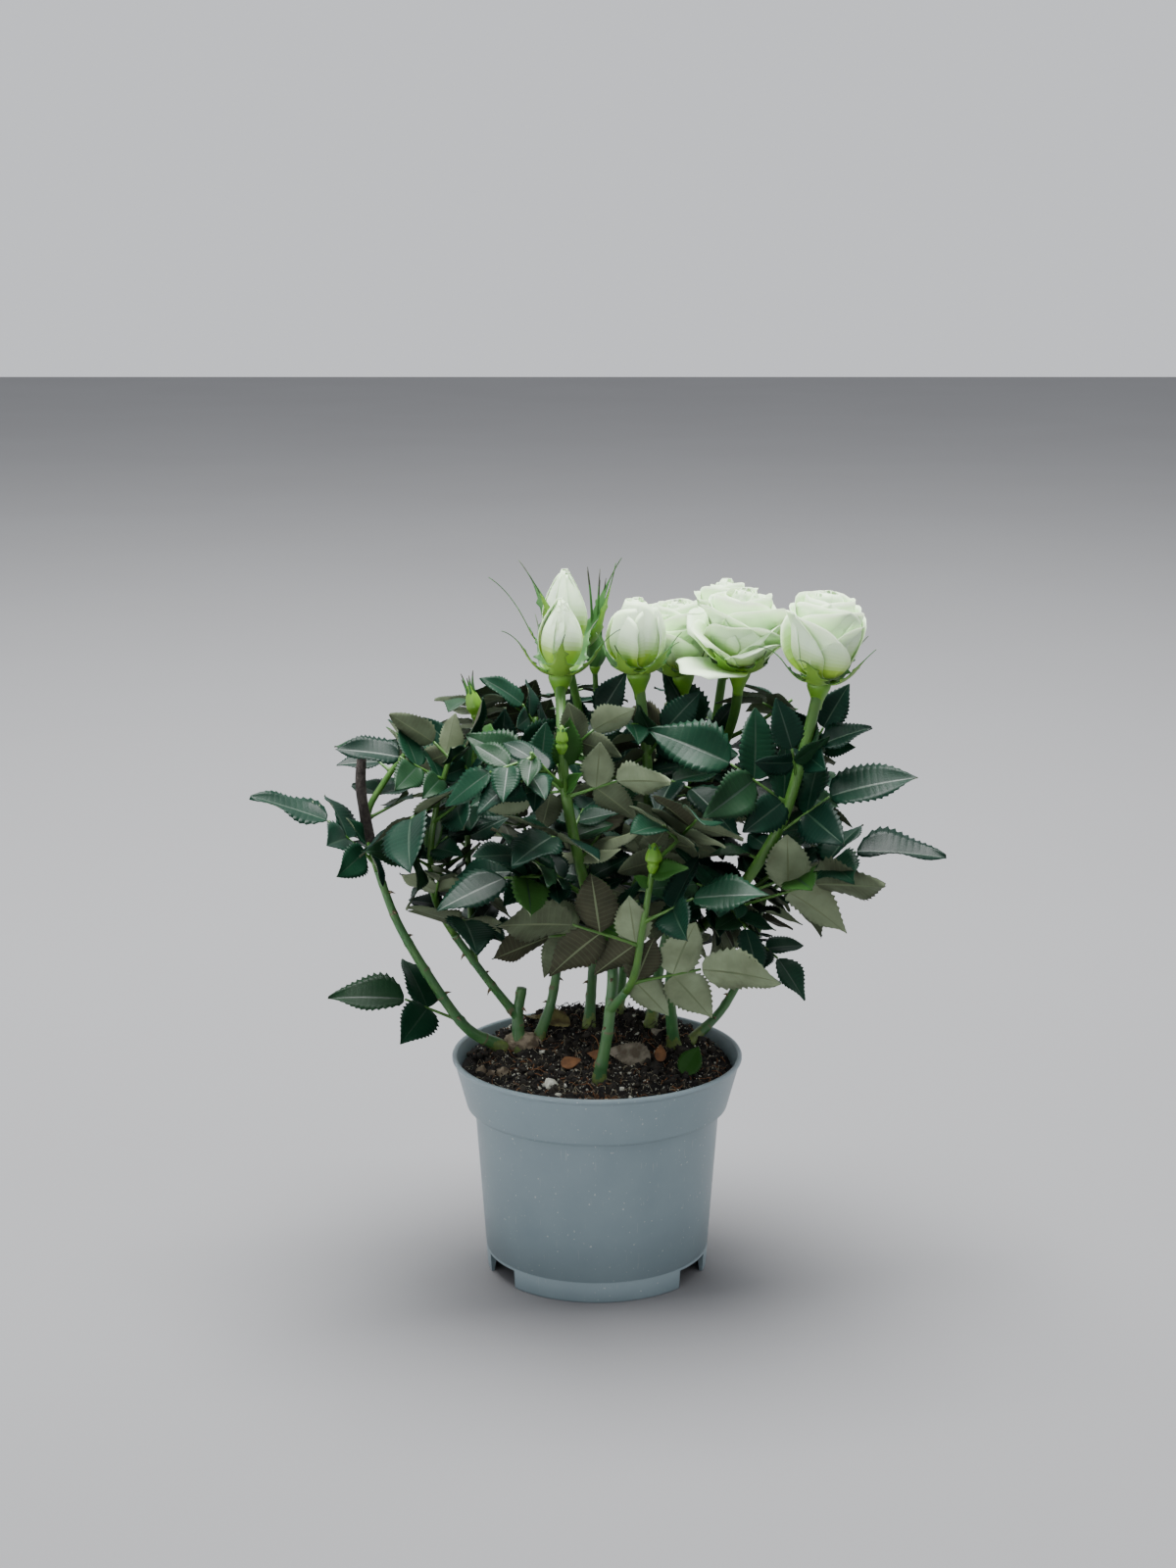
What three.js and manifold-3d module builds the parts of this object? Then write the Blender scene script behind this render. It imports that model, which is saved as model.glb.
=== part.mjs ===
// A miniature white rose in a 13 cm nursery pot: pot, soil, canes, leafy shoots and flowers.
// Millimetres, +Z up. The origin is on the ground under the middle of the pot. The open
// front of the bush, with the buds on the left and the blooms on the right, looks to -Y.
import * as THREE from 'three';
import { mergeVertices } from 'three/addons/utils/BufferGeometryUtils.js';
import Module from 'manifold-3d';

const wasm = await Module();
wasm.setup();

// Pot, a standard 13 cm nursery pot.
const RIM_RADIUS = 65;
const POT_HEIGHT = 99.2;
const FOOT_RADIUS = 49.7;
const COLLAR_Z = 76.3;
const COLLAR_FOOT_RADIUS = 58.7;
const WALL_TOP_RADIUS = 55;
const WALL = 1.4;
const LIP = 1.1;
const FLOOR_Z = 9;
const NOTCH_WIDTH = 22;
const NOTCH_HEIGHT = 8.5;
const NOTCH_TURNS = [-150, -30, 90];
const POT_SIDES = 32;
const SOIL_SIDES = 16;

// Soil, filled to just under the rim and heaped towards the back.
const SOIL_EDGE_Z = 92.5;
const SOIL_CROWN = 2;
const SOIL_HEAP = 14;
const SOIL_RADIUS = 61;
const GAP = 0.3;
const FOOT_SINK = 1.5;
const FOOT_DEPTH = 5;
const SOIL_RINGS = [0.9, 0.68, 0.42, 0.18, 0];
const KNUCKLE = { at: [-34, 14, 98.6], size: [17, 11, 11] };

// Crown: the space that the leaves keep to.
const CROWN = { z: 198, heart: 150, wide: 116, deep: 101, up: 70, down: 67, leftRise: 0.27, power: 3 };

// Leaves. Sizes are of a full leaf; the leaflets sit in pairs under one end leaflet.
const LEAFLET_MAX = 38;
const LEAFLET_MIN = 23;
const END_SHARE = 0.55;
const LEAFLET_WIDTH = 0.58;
const OUTLINE = { base: 0.6, tip: 0.95, peak: 1.405 };
const LEAFLET_THICKNESS = 0.45;
const WIDEST_AT = 0.42;
const FOLD = 0.22;
const DROOP = 0.1;
const ARCH = 0.09;
const PAIRS = { 3: [{ back: 0.34, size: 0.84 }], 5: [{ back: 0.34, size: 0.84 }, { back: 0.78, size: 0.7 }] };
const PAIR_ANGLE = 64;
const RACHIS_RADIUS = 0.75;
const SKYWARD = 0.7;
const TILT = 1.1;
const UNDERSIDES = 0.32;
const NODE_SPACING = 17.6;
const LEAF_TURN = 144;
const LEAF_REACH = 64;
const TWIG_LENGTH = 34;
const TRIES = 14;
const CLEAR = 1.45;
const SAMPLE_ROWS = 12;

// Faces of the limbs.
const CANE_SIDES = 6;
const CANE_STEP = 11;
const SHOOT_SIDES = 5;
const SHOOT_STEP = 16;

// Stems. Each has its way points (a branch starts on its parent), the radius at its foot
// and tip, the share of its length that is bare cane, and where its leaves end.
const STEMS = [
  { name: 'left_stub', way: [[-35, 12, 97.5], [-36, 13, 111], [-34, 13, 125]], thick: [2.6, 2.3], bare: 1 },
  { name: 'left_long', way: [[-44.5, 10, 98.5], [-61, 3, 112], [-83, -4, 150], [-93, -6, 174], [-101, -6, 206],
    [-93, 0, 224], [-80, 6, 240]], thick: [2.5, 1.2], bare: 0.62, leafTop: 1 },
  { name: 'left_inner', from: ['left_stub', 0.5], way: [[-53, 7, 136], [-70, -2, 166], [-73, -10, 190],
    [-70, -12, 215], [-63, -8, 240]], thick: [2, 1.1], bare: 0.36, leafTop: 1 },
  { name: 'left_bud', from: ['left_inner', 0.24], way: [[-57, 14, 166], [-58, 20, 200], [-55, 18, 225],
    [-53, 12, 250]], thick: [1.6, 1.1], bare: 0, leafTop: 0.86 },
  { name: 'left_rear', way: [[-27, 17, 98.9], [-20, 20, 120], [-18, 28, 147], [-24, 46, 182], [-30, 60, 212],
    [-28, 62, 240]], thick: [2.3, 1.1], bare: 0.34, leafTop: 1 },
  { name: 'back', way: [[-3.6, 28, 103.5], [-2, 38, 125], [0, 44, 165], [-2, 42, 215], [-13, 20, 274]],
    thick: [2.3, 1.8], bare: 0.3, leafTop: 0.8 },
  { name: 'centre', way: [[0.7, -26, 94.5], [5, -27, 122], [6, -26, 152], [-5, -36, 185], [-13, -46, 226],
    [-15, -38, 250], [-16, -14, 270]], thick: [2.5, 2.2], bare: 0.34, leafTop: 0.9 },
  { name: 'centre_side', from: ['centre', 0.17], way: [[15, -44, 146], [19, -55, 172], [23, -60, 200]],
    thick: [1.9, 1.3], bare: 0.22, leafTop: 0.25 },
  { name: 'centre_right', from: ['centre', 0.31], way: [[12, -18, 166], [21, -8, 195], [22, -6, 228],
    [18, -4, 269]], thick: [1.9, 2.4], bare: 0, leafTop: 0.84 },
  { name: 'right', way: [[34.7, 14, 97.9], [33, 6, 131], [40, -6, 152], [61, -20, 179], [78, -29, 210],
    [87, -28, 239], [94.5, -19, 267.5]], thick: [2.5, 2.4], bare: 0.32, leafTop: 0.86 },
  { name: 'right_low', way: [[44, 20, 98.5], [59, 32, 111], [72, 40, 136], [78, 43, 165], [86, 38, 200],
    [99, 34, 235]], thick: [2.1, 1.1], bare: 0.34, leafTop: 1 },
  { name: 'back_right', way: [[24.7, 28, 103], [29, 44, 125], [37, 51, 158], [49, 50, 205], [58, 50, 268]],
    thick: [2.4, 2], bare: 0.34, leafTop: 0.82 },
  { name: 'rear', way: [[10, 39, 105.8], [13, 58, 135], [8, 76, 180], [-6, 80, 236]], thick: [2.2, 1.1],
    bare: 0.3, leafTop: 1 },
];

// Flower stalks that leave a shoot below its tip, and the dead end left by an old cut.
const STALKS = [
  { name: 'side_bud', on: 'back', share: 0.62, way: [[0, 40, 240], [-1, 33, 268]], thick: [1.4, 1.2] },
  { name: 'left_back', on: 'back_right', share: 0.5, way: [[43, 42, 216], [40, 34, 244], [38.5, 30, 262.5]],
    thick: [1.7, 2] },
  { name: 'mid', on: 'back_right', share: 0.66, way: [[57, 34, 232], [61, 16, 252], [62, 8, 268.5]],
    thick: [1.8, 2.4] },
  { name: 'low_bud', on: 'centre', share: 0.7, way: [[-15, -54, 244], [-15, -55, 250]], thick: [1.1, 1] },
];
const DEAD_STUB = { on: 'left_long', share: 0.7, way: [[-103, -9, 222], [-102, -10, 239]], thick: [2.3, 2.1] };

// Flowers: the stem or stalk that carries each, the way its axis leans, the petals' height
// and half width, how far it is open (0 bud, 1 full), and its sepals' length, spread and turn.
const FLOWERS = [
  { name: 'front_bud', on: 'centre', lean: [0.02, 0, 1], tall: 31, half: 8.4, open: 0,
    sepal: 32, flare: 45, spin: 52 },
  { name: 'back_bud', on: 'back', lean: [-0.05, 0, 1], tall: 34, half: 8.4, open: 0.05,
    sepal: 48, flare: 18, spin: 42 },
  { name: 'bloom_left', on: 'centre_right', lean: [-0.04, 0, 1], tall: 30, half: 11.5, open: 0.3,
    sepal: 24, flare: 25, spin: 20 },
  { name: 'bloom_back_left', on: 'left_back', lean: [-0.1, -0.05, 1], tall: 31, half: 16, open: 0.75,
    sepal: 22, flare: 30, spin: 20 },
  { name: 'bloom_middle', on: 'mid', lean: [0.04, -0.1, 1], tall: 34, half: 22, open: 1,
    sepal: 24, flare: 30, spin: 20 },
  { name: 'bloom_back', on: 'back_right', lean: [0, 0.15, 1], tall: 31, half: 16.5, open: 0.85,
    sepal: 22, flare: 30, spin: 56 },
  { name: 'bloom_right', on: 'right', lean: [0.08, -0.06, 1], tall: 37, half: 17.5, open: 0.6,
    sepal: 29, flare: 40, spin: 40 },
];
const CLOSED_BUDS = [
  { on: 'left_bud', lean: [-0.25, 0, 1], tall: 21, half: 3.6 },
  { on: 'side_bud', lean: [0.03, 0, 1], tall: 47, half: 4.6 },
  { on: 'centre_side', lean: [0.05, 0, 1], tall: 11, half: 3.6 },
  { on: 'low_bud', lean: [0, 0, 1], tall: 10, half: 2.6 },
];
const OUTER_CUT = 0.32;
const SEPAL_HUG = 0.45;
const SEPAL_LEAN = 10;
const PETAL_LOBES = 5;
const PETAL_SIDES = 10;
const CUP_RADIUS = 5.2;
const CUP_HEIGHT = 6;

// Which way a leaf's upper side looks. Turned away, its pale underside shows in front.
const TO_FRONT = [0, -0.8, 0.6];
const TO_SKY = [0, -0.25, 1];
const AWAY = [0, 0.85, 0.35];
const ASLANT = [0, -0.5, 0.85];

// Leaves that show in front or reach furthest: stem, share of its length, tip, leaflets
// and the way it looks.
const SHOWN_LEAVES = [
  ['left_long', 0.64, [-149, -18, 224], 3, TO_SKY],
  ['left_long', 0.9, [-118, 27, 236], 3, TO_SKY],
  ['left_inner', 0.9, [-112, -22, 245], 5, ASLANT],
  ['left_inner', 0.97, [-90, -6, 256], 3, AWAY],
  ['left_inner', 0.5, [-67, -34, 193], 3, AWAY],
  ['left_inner', 0.62, [-98, -40, 204], 3, TO_FRONT],
  ['left_bud', 0.72, [-76, 10, 251], 3, ASLANT],
  ['left_rear', 0.97, [-50, 50, 263], 5, ASLANT],
  ['centre', 0.72, [-56, -40, 254], 3, TO_FRONT],
  ['centre', 0.8, [16, -50, 268], 3, AWAY],
  ['centre', 0.71, [32, -62, 240], 3, AWAY],
  ['centre', 0.6, [-34, -94, 214], 3, ASLANT],
  ['centre', 0.36, [-46, -50, 158], 3, AWAY],
  ['centre_side', 0.56, [-44, -68, 180], 5, AWAY],
  ['centre_side', 0.7, [70, -78, 196], 3, ASLANT],
  ['centre_side', 0.3, [80, -52, 152], 5, AWAY],
  ['centre_right', 0.36, [50, -46, 219], 5, AWAY],
  ['right', 0.74, [22, -32, 256], 5, TO_FRONT],
  ['right', 0.84, [115, -36, 257], 3, ASLANT],
  ['right', 0.8, [76, -42, 268], 3, TO_FRONT],
  ['right', 0.66, [133, -44, 240], 3, ASLANT],
  ['right', 0.47, [149, -38, 203], 5, TO_SKY],
  ['right', 0.42, [122, -58, 193], 3, AWAY],
  ['right_low', 0.97, [112, 28, 262], 3, TO_FRONT],
  ['right_low', 0.36, [96, 22, 117], 3, TO_SKY],
  ['centre_right', 0.72, [43, -16, 267], 3, TO_FRONT],
  ['back_right', 0.72, [31, 24, 268], 3, TO_FRONT],
  ['back', 0.74, [12, 22, 268], 3, TO_FRONT],
];
const LOW_LEAF = { on: 'left_long', share: 0.14, tip: [-119, -10, 131], leaflets: 3, look: ASLANT };

const UP = new THREE.Vector3(0, 0, 1);
const HEART = new THREE.Vector3(0, 0, CROWN.heart);
const vector = (point) => new THREE.Vector3(...point);
const radians = THREE.MathUtils.degToRad;
const lerp = THREE.MathUtils.lerp;
const clamp = THREE.MathUtils.clamp;

function drawsFrom(seed) {
  let state = Math.imul(seed, 40503) >>> 0;
  return () => {
    state = (Math.imul(state, 1664525) + 1013904223) >>> 0;
    return state / 4294967296;
  };
}

// Solids

function solid(geometry) {
  const bare = geometry.index ? geometry.clone() : geometry;
  bare.deleteAttribute('normal');
  bare.deleteAttribute('uv');
  const merged = mergeVertices(bare, 1e-4);
  return new wasm.Manifold(new wasm.Mesh({
    numProp: 3,
    vertProperties: new Float32Array(merged.attributes.position.array),
    triVerts: new Uint32Array(merged.index.array),
  }));
}

function geometryOf(body) {
  const mesh = body.getMesh();
  const geometry = new THREE.BufferGeometry();
  geometry.setAttribute('position', new THREE.BufferAttribute(new Float32Array(mesh.vertProperties), 3));
  geometry.setIndex(new THREE.BufferAttribute(new Uint32Array(mesh.triVerts), 1));
  geometry.computeVertexNormals();
  return geometry;
}

// Joins the pieces and keeps the one main body, which drops scraps and fills sealed hollows.
function joined(pieces) {
  const parts = wasm.Manifold.union(pieces).decompose();
  return parts.reduce((best, part) => (part.volume() > best.volume() ? part : best));
}

// The solid of a closed geometry, with its faces turned outwards.
function turnedOut(geometry) {
  const body = solid(geometry);
  if (body.volume() > 0) return body;
  geometry.setIndex([...geometry.index.array].reverse());
  return solid(geometry);
}

// Closed body through rings of points, with a point at each end.
function ringedSolid(first, rings, last) {
  const places = [first, ...rings.flat(), last];
  const sides = rings[0].length;
  const end = places.length - 1;
  const faces = [];
  for (let side = 0; side < sides; side += 1) {
    const next = (side + 1) % sides;
    faces.push(0, 1 + next, 1 + side);
    for (let ring = 0; ring + 1 < rings.length; ring += 1) {
      const low = 1 + ring * sides;
      const high = low + sides;
      faces.push(low + side, low + next, high + next, low + side, high + next, high + side);
    }
    const top = 1 + (rings.length - 1) * sides;
    faces.push(end, top + side, top + next);
  }
  const geometry = new THREE.BufferGeometry().setFromPoints(places);
  geometry.setIndex(faces);
  return turnedOut(geometry);
}

// Closed body through rings, with flat ends.
function slab(rings) {
  const middle = (ring) => ring.reduce((sum, point) => sum.add(point), new THREE.Vector3())
    .multiplyScalar(1 / ring.length);
  return ringedSolid(middle(rings[0]), rings, middle(rings[rings.length - 1]));
}

// Place on a curve by share of its length, carried straight on below its start.
function placeOn(curve, share) {
  const place = curve.getPointAt(clamp(share, 0, 1));
  return share < 0 ? place.addScaledVector(curve.getTangentAt(0), share * curve.getLength()) : place;
}

// A round, tapering, closed limb along a share of a curve.
function limb(curve, radiusAt, sides, steps, from = 0, to = 1) {
  const geometry = new THREE.CylinderGeometry(1, 1, 1, sides, steps);
  const chord = curve.getPointAt(1).sub(curve.getPointAt(0)).normalize();
  const reference = Math.abs(chord.z) > 0.7 ? new THREE.Vector3(0, 1, 0) : UP;
  const place = geometry.attributes.position;
  for (let i = 0; i < place.count; i += 1) {
    const share = lerp(from, to, place.getY(i) + 0.5);
    const along = curve.getTangentAt(clamp(share, 0, 1));
    const side = reference.clone().cross(along).normalize();
    const across = side.clone().cross(along);
    const radius = radiusAt(Math.max(share, 0));
    const centre = placeOn(curve, share);
    centre.addScaledVector(side, place.getX(i) * radius).addScaledVector(across, place.getZ(i) * radius);
    place.setXYZ(i, centre.x, centre.y, centre.z);
  }
  return solid(geometry);
}

function lathe(profile, sides) {
  const points = profile.map(([radius, height]) => new THREE.Vector2(radius, height));
  return new THREE.LatheGeometry(points, sides).rotateX(Math.PI / 2);
}

// Soil height at a place on the pot's mouth.
function soilTop(x, y) {
  const heap = THREE.MathUtils.smoothstep(y, -5, 50);
  const edge = 1 - Math.min(1, Math.hypot(x, y) / SOIL_RADIUS) ** 6;
  return SOIL_EDGE_Z + (SOIL_CROWN + SOIL_HEAP * heap) * edge;
}

// Stems: their curves, radii and the room that they take

const curves = {};
const radii = {};

function addCurve(name, points, thick, parent) {
  const way = points.map(vector);
  if (parent) way.unshift(curves[parent[0]].getPointAt(parent[1]));
  curves[name] = new THREE.CatmullRomCurve3(way, false, 'catmullrom', 0.5);
  const flare = parent ? 0.2 : 0.4;
  const length = curves[name].getLength();
  radii[name] = (share) => lerp(thick[0], thick[1], share) * (1 + flare * Math.exp(-share * length / 6));
}

STEMS.forEach((stem) => addCurve(stem.name, stem.way, stem.thick, stem.from));
STALKS.forEach((stalk) => addCurve(stalk.name, stalk.way, stalk.thick, [stalk.on, stalk.share]));
addCurve('dead_stub', DEAD_STUB.way, DEAD_STUB.thick, [DEAD_STUB.on, DEAD_STUB.share]);

// Clearance. Leaves are kept as blades, all else as balls along its line.
const blades = [];
const balls = [];

function addBalls(curve, radiusAt, from = 0) {
  const count = Math.ceil(curve.getLength() / 3);
  for (let i = 0; i <= count; i += 1) {
    const share = lerp(from, 1, i / count);
    balls.push({ centre: curve.getPointAt(share), radius: radiusAt(share) });
  }
}

function halfWidth(blade, t) {
  return t > 0 && t < 1 ? blade.width * OUTLINE.peak * t ** OUTLINE.base * (1 - t) ** OUTLINE.tip : 0;
}

// A point of a leaflet: t runs from its base to its tip and u across it.
function bladePoint(blade, t, u, lift = 0) {
  const wide = halfWidth(blade, t);
  const rise = FOLD * Math.abs(u) * wide - DROOP * blade.length * t * t + lift;
  return blade.base.clone().addScaledVector(blade.along, blade.length * t)
    .addScaledVector(blade.across, u * wide).addScaledVector(blade.normal, rise);
}

function makeBlade(base, along, normal, length) {
  const flat = normal.clone().addScaledVector(along, -normal.dot(along)).normalize();
  const across = flat.clone().cross(along);
  const blade = { base, along, normal: flat, across, length, width: length * LEAFLET_WIDTH };
  blade.middle = bladePoint(blade, 0.5, 0);
  blade.samples = [];
  for (let row = 1; row <= SAMPLE_ROWS; row += 1) {
    for (let column = -3; column <= 3; column += 1) {
      blade.samples.push(bladePoint(blade, row / SAMPLE_ROWS, column / 3));
    }
  }
  return blade;
}

function insideBlade(point, blade, margin) {
  const offset = point.clone().sub(blade.base);
  const t = offset.dot(blade.along) / blade.length;
  if (t < -0.05 || t > 1.05) return false;
  const wide = Math.abs(offset.dot(blade.across));
  if (wide > halfWidth(blade, clamp(t, 0.06, 0.94)) + margin) return false;
  const rise = FOLD * wide - DROOP * blade.length * t * t;
  return Math.abs(offset.dot(blade.normal) - rise) < margin + 0.3;
}

function bladeIsClear(blade, root) {
  const reach = blade.length * 0.62;
  for (const other of blades) {
    if (blade.middle.distanceTo(other.middle) > reach + other.length * 0.62) continue;
    if (blade.samples.some((point) => insideBlade(point, other, CLEAR))) return false;
    if (other.samples.some((point) => insideBlade(point, blade, CLEAR))) return false;
  }
  for (const ball of balls) {
    if (blade.middle.distanceTo(ball.centre) > reach + ball.radius + 1) continue;
    if (ball.centre.distanceTo(root) < 5) continue;
    if (insideBlade(ball.centre, blade, ball.radius + 0.6)) return false;
  }
  return true;
}

function rodIsClear(points, root) {
  return points.every((point) => {
    if (point.distanceTo(root) < 5) return true;
    return blades.every((blade) => (
      blade.middle.distanceTo(point) > blade.length || !insideBlade(point, blade, CLEAR)))
      && balls.every((ball) => ball.centre.distanceTo(point) > ball.radius + 1.6);
  });
}

function inCrown(point) {
  const tilt = point.x < 0 ? CROWN.leftRise * point.x : 0;
  const high = point.z - CROWN.z;
  const tall = high > 0 ? CROWN.up : CROWN.down + tilt;
  return Math.abs(point.x / CROWN.wide) ** CROWN.power + Math.abs(point.y / CROWN.deep) ** CROWN.power
    + Math.abs(high / tall) ** CROWN.power < 1;
}

// A leaf looks to the sky, out of the crown by its face (below 0 the underside shows), and
// aside by its tilt.
function lookOf(root, tip, face, tilt) {
  const outward = root.clone().lerp(tip, 0.6).sub(HEART).normalize();
  const aside = tip.clone().sub(root).cross(UP).normalize();
  return UP.clone().multiplyScalar(SKYWARD).addScaledVector(outward, face).addScaledVector(aside, tilt);
}

// A leaf: a stalk from its root to its neck, pairs of leaflets, and one from neck to tip.
function makeLeaf(root, tip, leaflets, look) {
  const chord = tip.clone().sub(root);
  const reach = chord.length();
  const line = chord.clone().normalize();
  const lift = look.clone().addScaledVector(line, -look.dot(line)).normalize();
  const end = clamp(END_SHARE * reach, LEAFLET_MIN, LEAFLET_MAX);
  const share = 1 - end / reach;
  const rise = ARCH * reach * 4 * share * (1 - share);
  const neck = root.clone().addScaledVector(chord, share).addScaledVector(lift, rise);
  const stalk = new THREE.LineCurve3(root, neck);
  const leaf = { root, stalk, blades: [] };
  const endLine = tip.clone().sub(neck);
  leaf.blades.push(makeBlade(neck, endLine.clone().normalize(), lift, endLine.length()));
  const along = neck.clone().sub(root).normalize();
  const normal = lift.clone().addScaledVector(along, -lift.dot(along)).normalize();
  for (const pair of PAIRS[leaflets]) {
    const base = neck.clone().addScaledVector(along, -pair.back * end);
    for (const turn of [PAIR_ANGLE, -PAIR_ANGLE]) {
      const out = along.clone().applyAxisAngle(normal, radians(turn)).addScaledVector(normal, 0.12).normalize();
      leaf.blades.push(makeBlade(base, out, normal, end * pair.size));
    }
  }
  return leaf;
}

function keepLeaf(leaf, shoot) {
  blades.push(...leaf.blades);
  addBalls(leaf.stalk, () => RACHIS_RADIUS, 0.15);
  shoot.leaves.push(leaf);
}

function leafIsClear(leaf) {
  const rod = leaf.stalk.getSpacedPoints(12);
  return leaf.blades.every((blade) => bladeIsClear(blade, leaf.root)) && rodIsClear(rod, leaf.root);
}

// Tries a leaf in turns round its node, at other slopes and slightly smaller, and keeps
// the first that stays in the crown and clear of everything.
function tryLeaf(shoot, root, turn, slope, reach, leaflets, face, tilt) {
  for (let trial = 0; trial < TRIES; trial += 1) {
    const aside = Math.ceil(trial / 2) * (trial % 2 ? 24 : -24);
    const angle = radians(turn + aside);
    const rise = radians(slope + 16 * ((trial % 3) - 1) * Math.min(trial, 1));
    const length = reach * (1 - 0.025 * trial);
    const tip = new THREE.Vector3(Math.cos(angle) * Math.cos(rise), Math.sin(angle) * Math.cos(rise), Math.sin(rise))
      .multiplyScalar(length).add(root);
    const leaf = makeLeaf(root, tip, leaflets, lookOf(root, tip, face, tilt));
    const inside = leaf.blades.every((blade) => inCrown(bladePoint(blade, 1, 0)));
    if (inside && leafIsClear(leaf)) {
      keepLeaf(leaf, shoot);
      return;
    }
  }
}

// Short side twig with a leaf at its tip and one half way.
function tryTwig(shoot, root, turn, slope, length, draw) {
  const outward = new THREE.Vector3(Math.cos(radians(turn)), Math.sin(radians(turn)), Math.tan(radians(slope)))
    .normalize();
  const tip = root.clone().addScaledVector(outward, length).addScaledVector(UP, length * 0.15);
  const curve = new THREE.QuadraticBezierCurve3(root, root.clone().addScaledVector(outward, length / 2), tip);
  const points = curve.getSpacedPoints(12);
  const lean = [draw(), draw()];
  if (!points.every(inCrown) || !rodIsClear(points, root)) return;
  shoot.twigs.push(curve);
  addBalls(curve, () => 1.1, 0.15);
  tryLeaf(shoot, tip, turn + 40 * (lean[0] - 0.5), 20, LEAF_REACH * 0.8, 5, 0.8, TILT * (lean[1] - 0.5));
  tryLeaf(shoot, curve.getPoint(0.55), turn + (lean[1] > 0.5 ? 80 : -80), 15, LEAF_REACH * 0.7, 3, 0.8,
    TILT * (lean[0] - 0.5));
}

function growShoot(stem, shoot, draw) {
  const curve = curves[stem.name];
  const length = curve.getLength();
  let turn = 360 * draw();
  let count = 0;
  for (let s = Math.max(stem.bare, 0.12) + 6 / length; s < stem.leafTop; s += NODE_SPACING / length) {
    turn += LEAF_TURN;
    const root = curve.getPointAt(s);
    const size = lerp(1, 0.72, (s - stem.bare) / (1 - stem.bare)) * (0.88 + 0.24 * draw());
    const slope = lerp(5, 38, s) + 24 * (draw() - 0.5);
    const face = draw() < UNDERSIDES ? -0.7 : lerp(0.1, 1.1, draw());
    const tilt = TILT * (draw() - 0.5);
    const outward = THREE.MathUtils.radToDeg(Math.atan2(root.y, root.x));
    const sideways = outward + 150 * (draw() - 0.5);
    if (count % 3 === 1) tryTwig(shoot, root, sideways, 25, TWIG_LENGTH * (0.7 + 0.6 * draw()), draw);
    tryLeaf(shoot, root, turn, slope, LEAF_REACH * size, s > 0.75 * stem.leafTop ? 3 : 5, face, tilt);
    count += 1;
  }
}

// Flowers

// The slope of a petal from the flower's axis, in degrees, from its base to its lip.
function petalSlope(flower, level, v) {
  const foot = lerp(45, 66 + 20 * flower.open, level);
  const belly = lerp(-2, 3 + 17 * flower.open, level);
  const lip = lerp(-30, -28 + 103 * flower.open, level);
  return foot * (1 - v) * (1 - 2 * v) + belly * 4 * v * (1 - v) + lip * v * (2 * v - 1);
}

// Line of a petal up its middle: distances from the axis and heights, scaled to the flower.
function petalLine(flower, level, steps, extra = 0) {
  const line = [new THREE.Vector2(2, 0)];
  const parts = 24;
  let [radius, height] = [2, 0];
  for (let i = 0; i < parts; i += 1) {
    const slope = radians(petalSlope(flower, level, (i + 0.5) / parts) + extra);
    radius += Math.sin(slope) * lerp(1, flower.spread, level) * flower.petal / parts;
    height += Math.cos(slope) * flower.petal / parts;
    if ((i + 1) % (parts / steps) === 0) line.push(new THREE.Vector2(radius, height));
  }
  return line;
}

// Fits the petals' length to the flower's height, shorter for the outer petals of an open
// flower, and spreads the outer petals to its half width.
function fitFlower(flower) {
  Object.assign(flower, { petal: 1, spread: 1 });
  const widest = Math.max(...petalLine(flower, 1, 12).map((point) => point.x)) - 2;
  const tallest = Math.max(...petalLine(flower, 0, 12).map((point) => point.y));
  flower.lengthAt = (level) => flower.tall / tallest * (1 - OUTER_CUT * flower.open * level * level);
  flower.spread = (flower.half - 2) / (widest * flower.lengthAt(1));
  flower.curve = curves[flower.on];
  flower.base = flower.curve.getPointAt(1);
  flower.axis = vector(flower.lean).normalize();
  flower.turn = new THREE.Quaternion().setFromUnitVectors(UP, flower.axis);
}

function inFlower(flower, radius, angle, height) {
  return new THREE.Vector3(radius * Math.cos(angle), radius * Math.sin(angle), height + CUP_HEIGHT)
    .applyQuaternion(flower.turn).add(flower.base);
}

// The petals as one body: round lines of lobed lips, each set lower inside the one round it,
// with the shut heart standing up in the middle.
function petals(flower) {
  const line = (level, steps) => petalLine({ ...flower, petal: flower.lengthAt(level) }, level, steps);
  const outer = line(1, 4);
  const inner = line(0.4, 4);
  const lip = outer[4];
  const heart = inner[4];
  const rings = [];
  const ring = (radius, height, lobe, turn) => rings.push(Array.from({ length: PETAL_SIDES }, (_, side) => {
    const angle = side * 2 * Math.PI / PETAL_SIDES;
    const wave = Math.cos(PETAL_LOBES * (angle + turn));
    return inFlower(flower, radius * (1 + lobe * wave), angle, height + lobe * 12 * wave);
  }));
  ring(2.2, GAP, 0, 0);
  outer.slice(1, 4).forEach((point, i) => ring(point.x, point.y + GAP, 0.02 * (i + 1), 0));
  ring(lip.x, lip.y, 0.08, 0);
  if (flower.open > 0.1) {
    ring(lerp(heart.x, lip.x, 0.55), lerp(inner[3].y, lip.y, 0.6) - 2, 0.03, 0);
    ring(lerp(heart.x, lip.x, 0.4), lerp(heart.y, lip.y, 0.4), 0.08, 0.6);
  }
  ring(heart.x * 0.8, heart.y - 1, 0.05, 0.3);
  const top = inFlower(flower, 0, 0, heart.y - (flower.open > 0.1 ? 3 : -1));
  return ringedSolid(inFlower(flower, 0, 0, GAP), rings, top);
}

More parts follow.
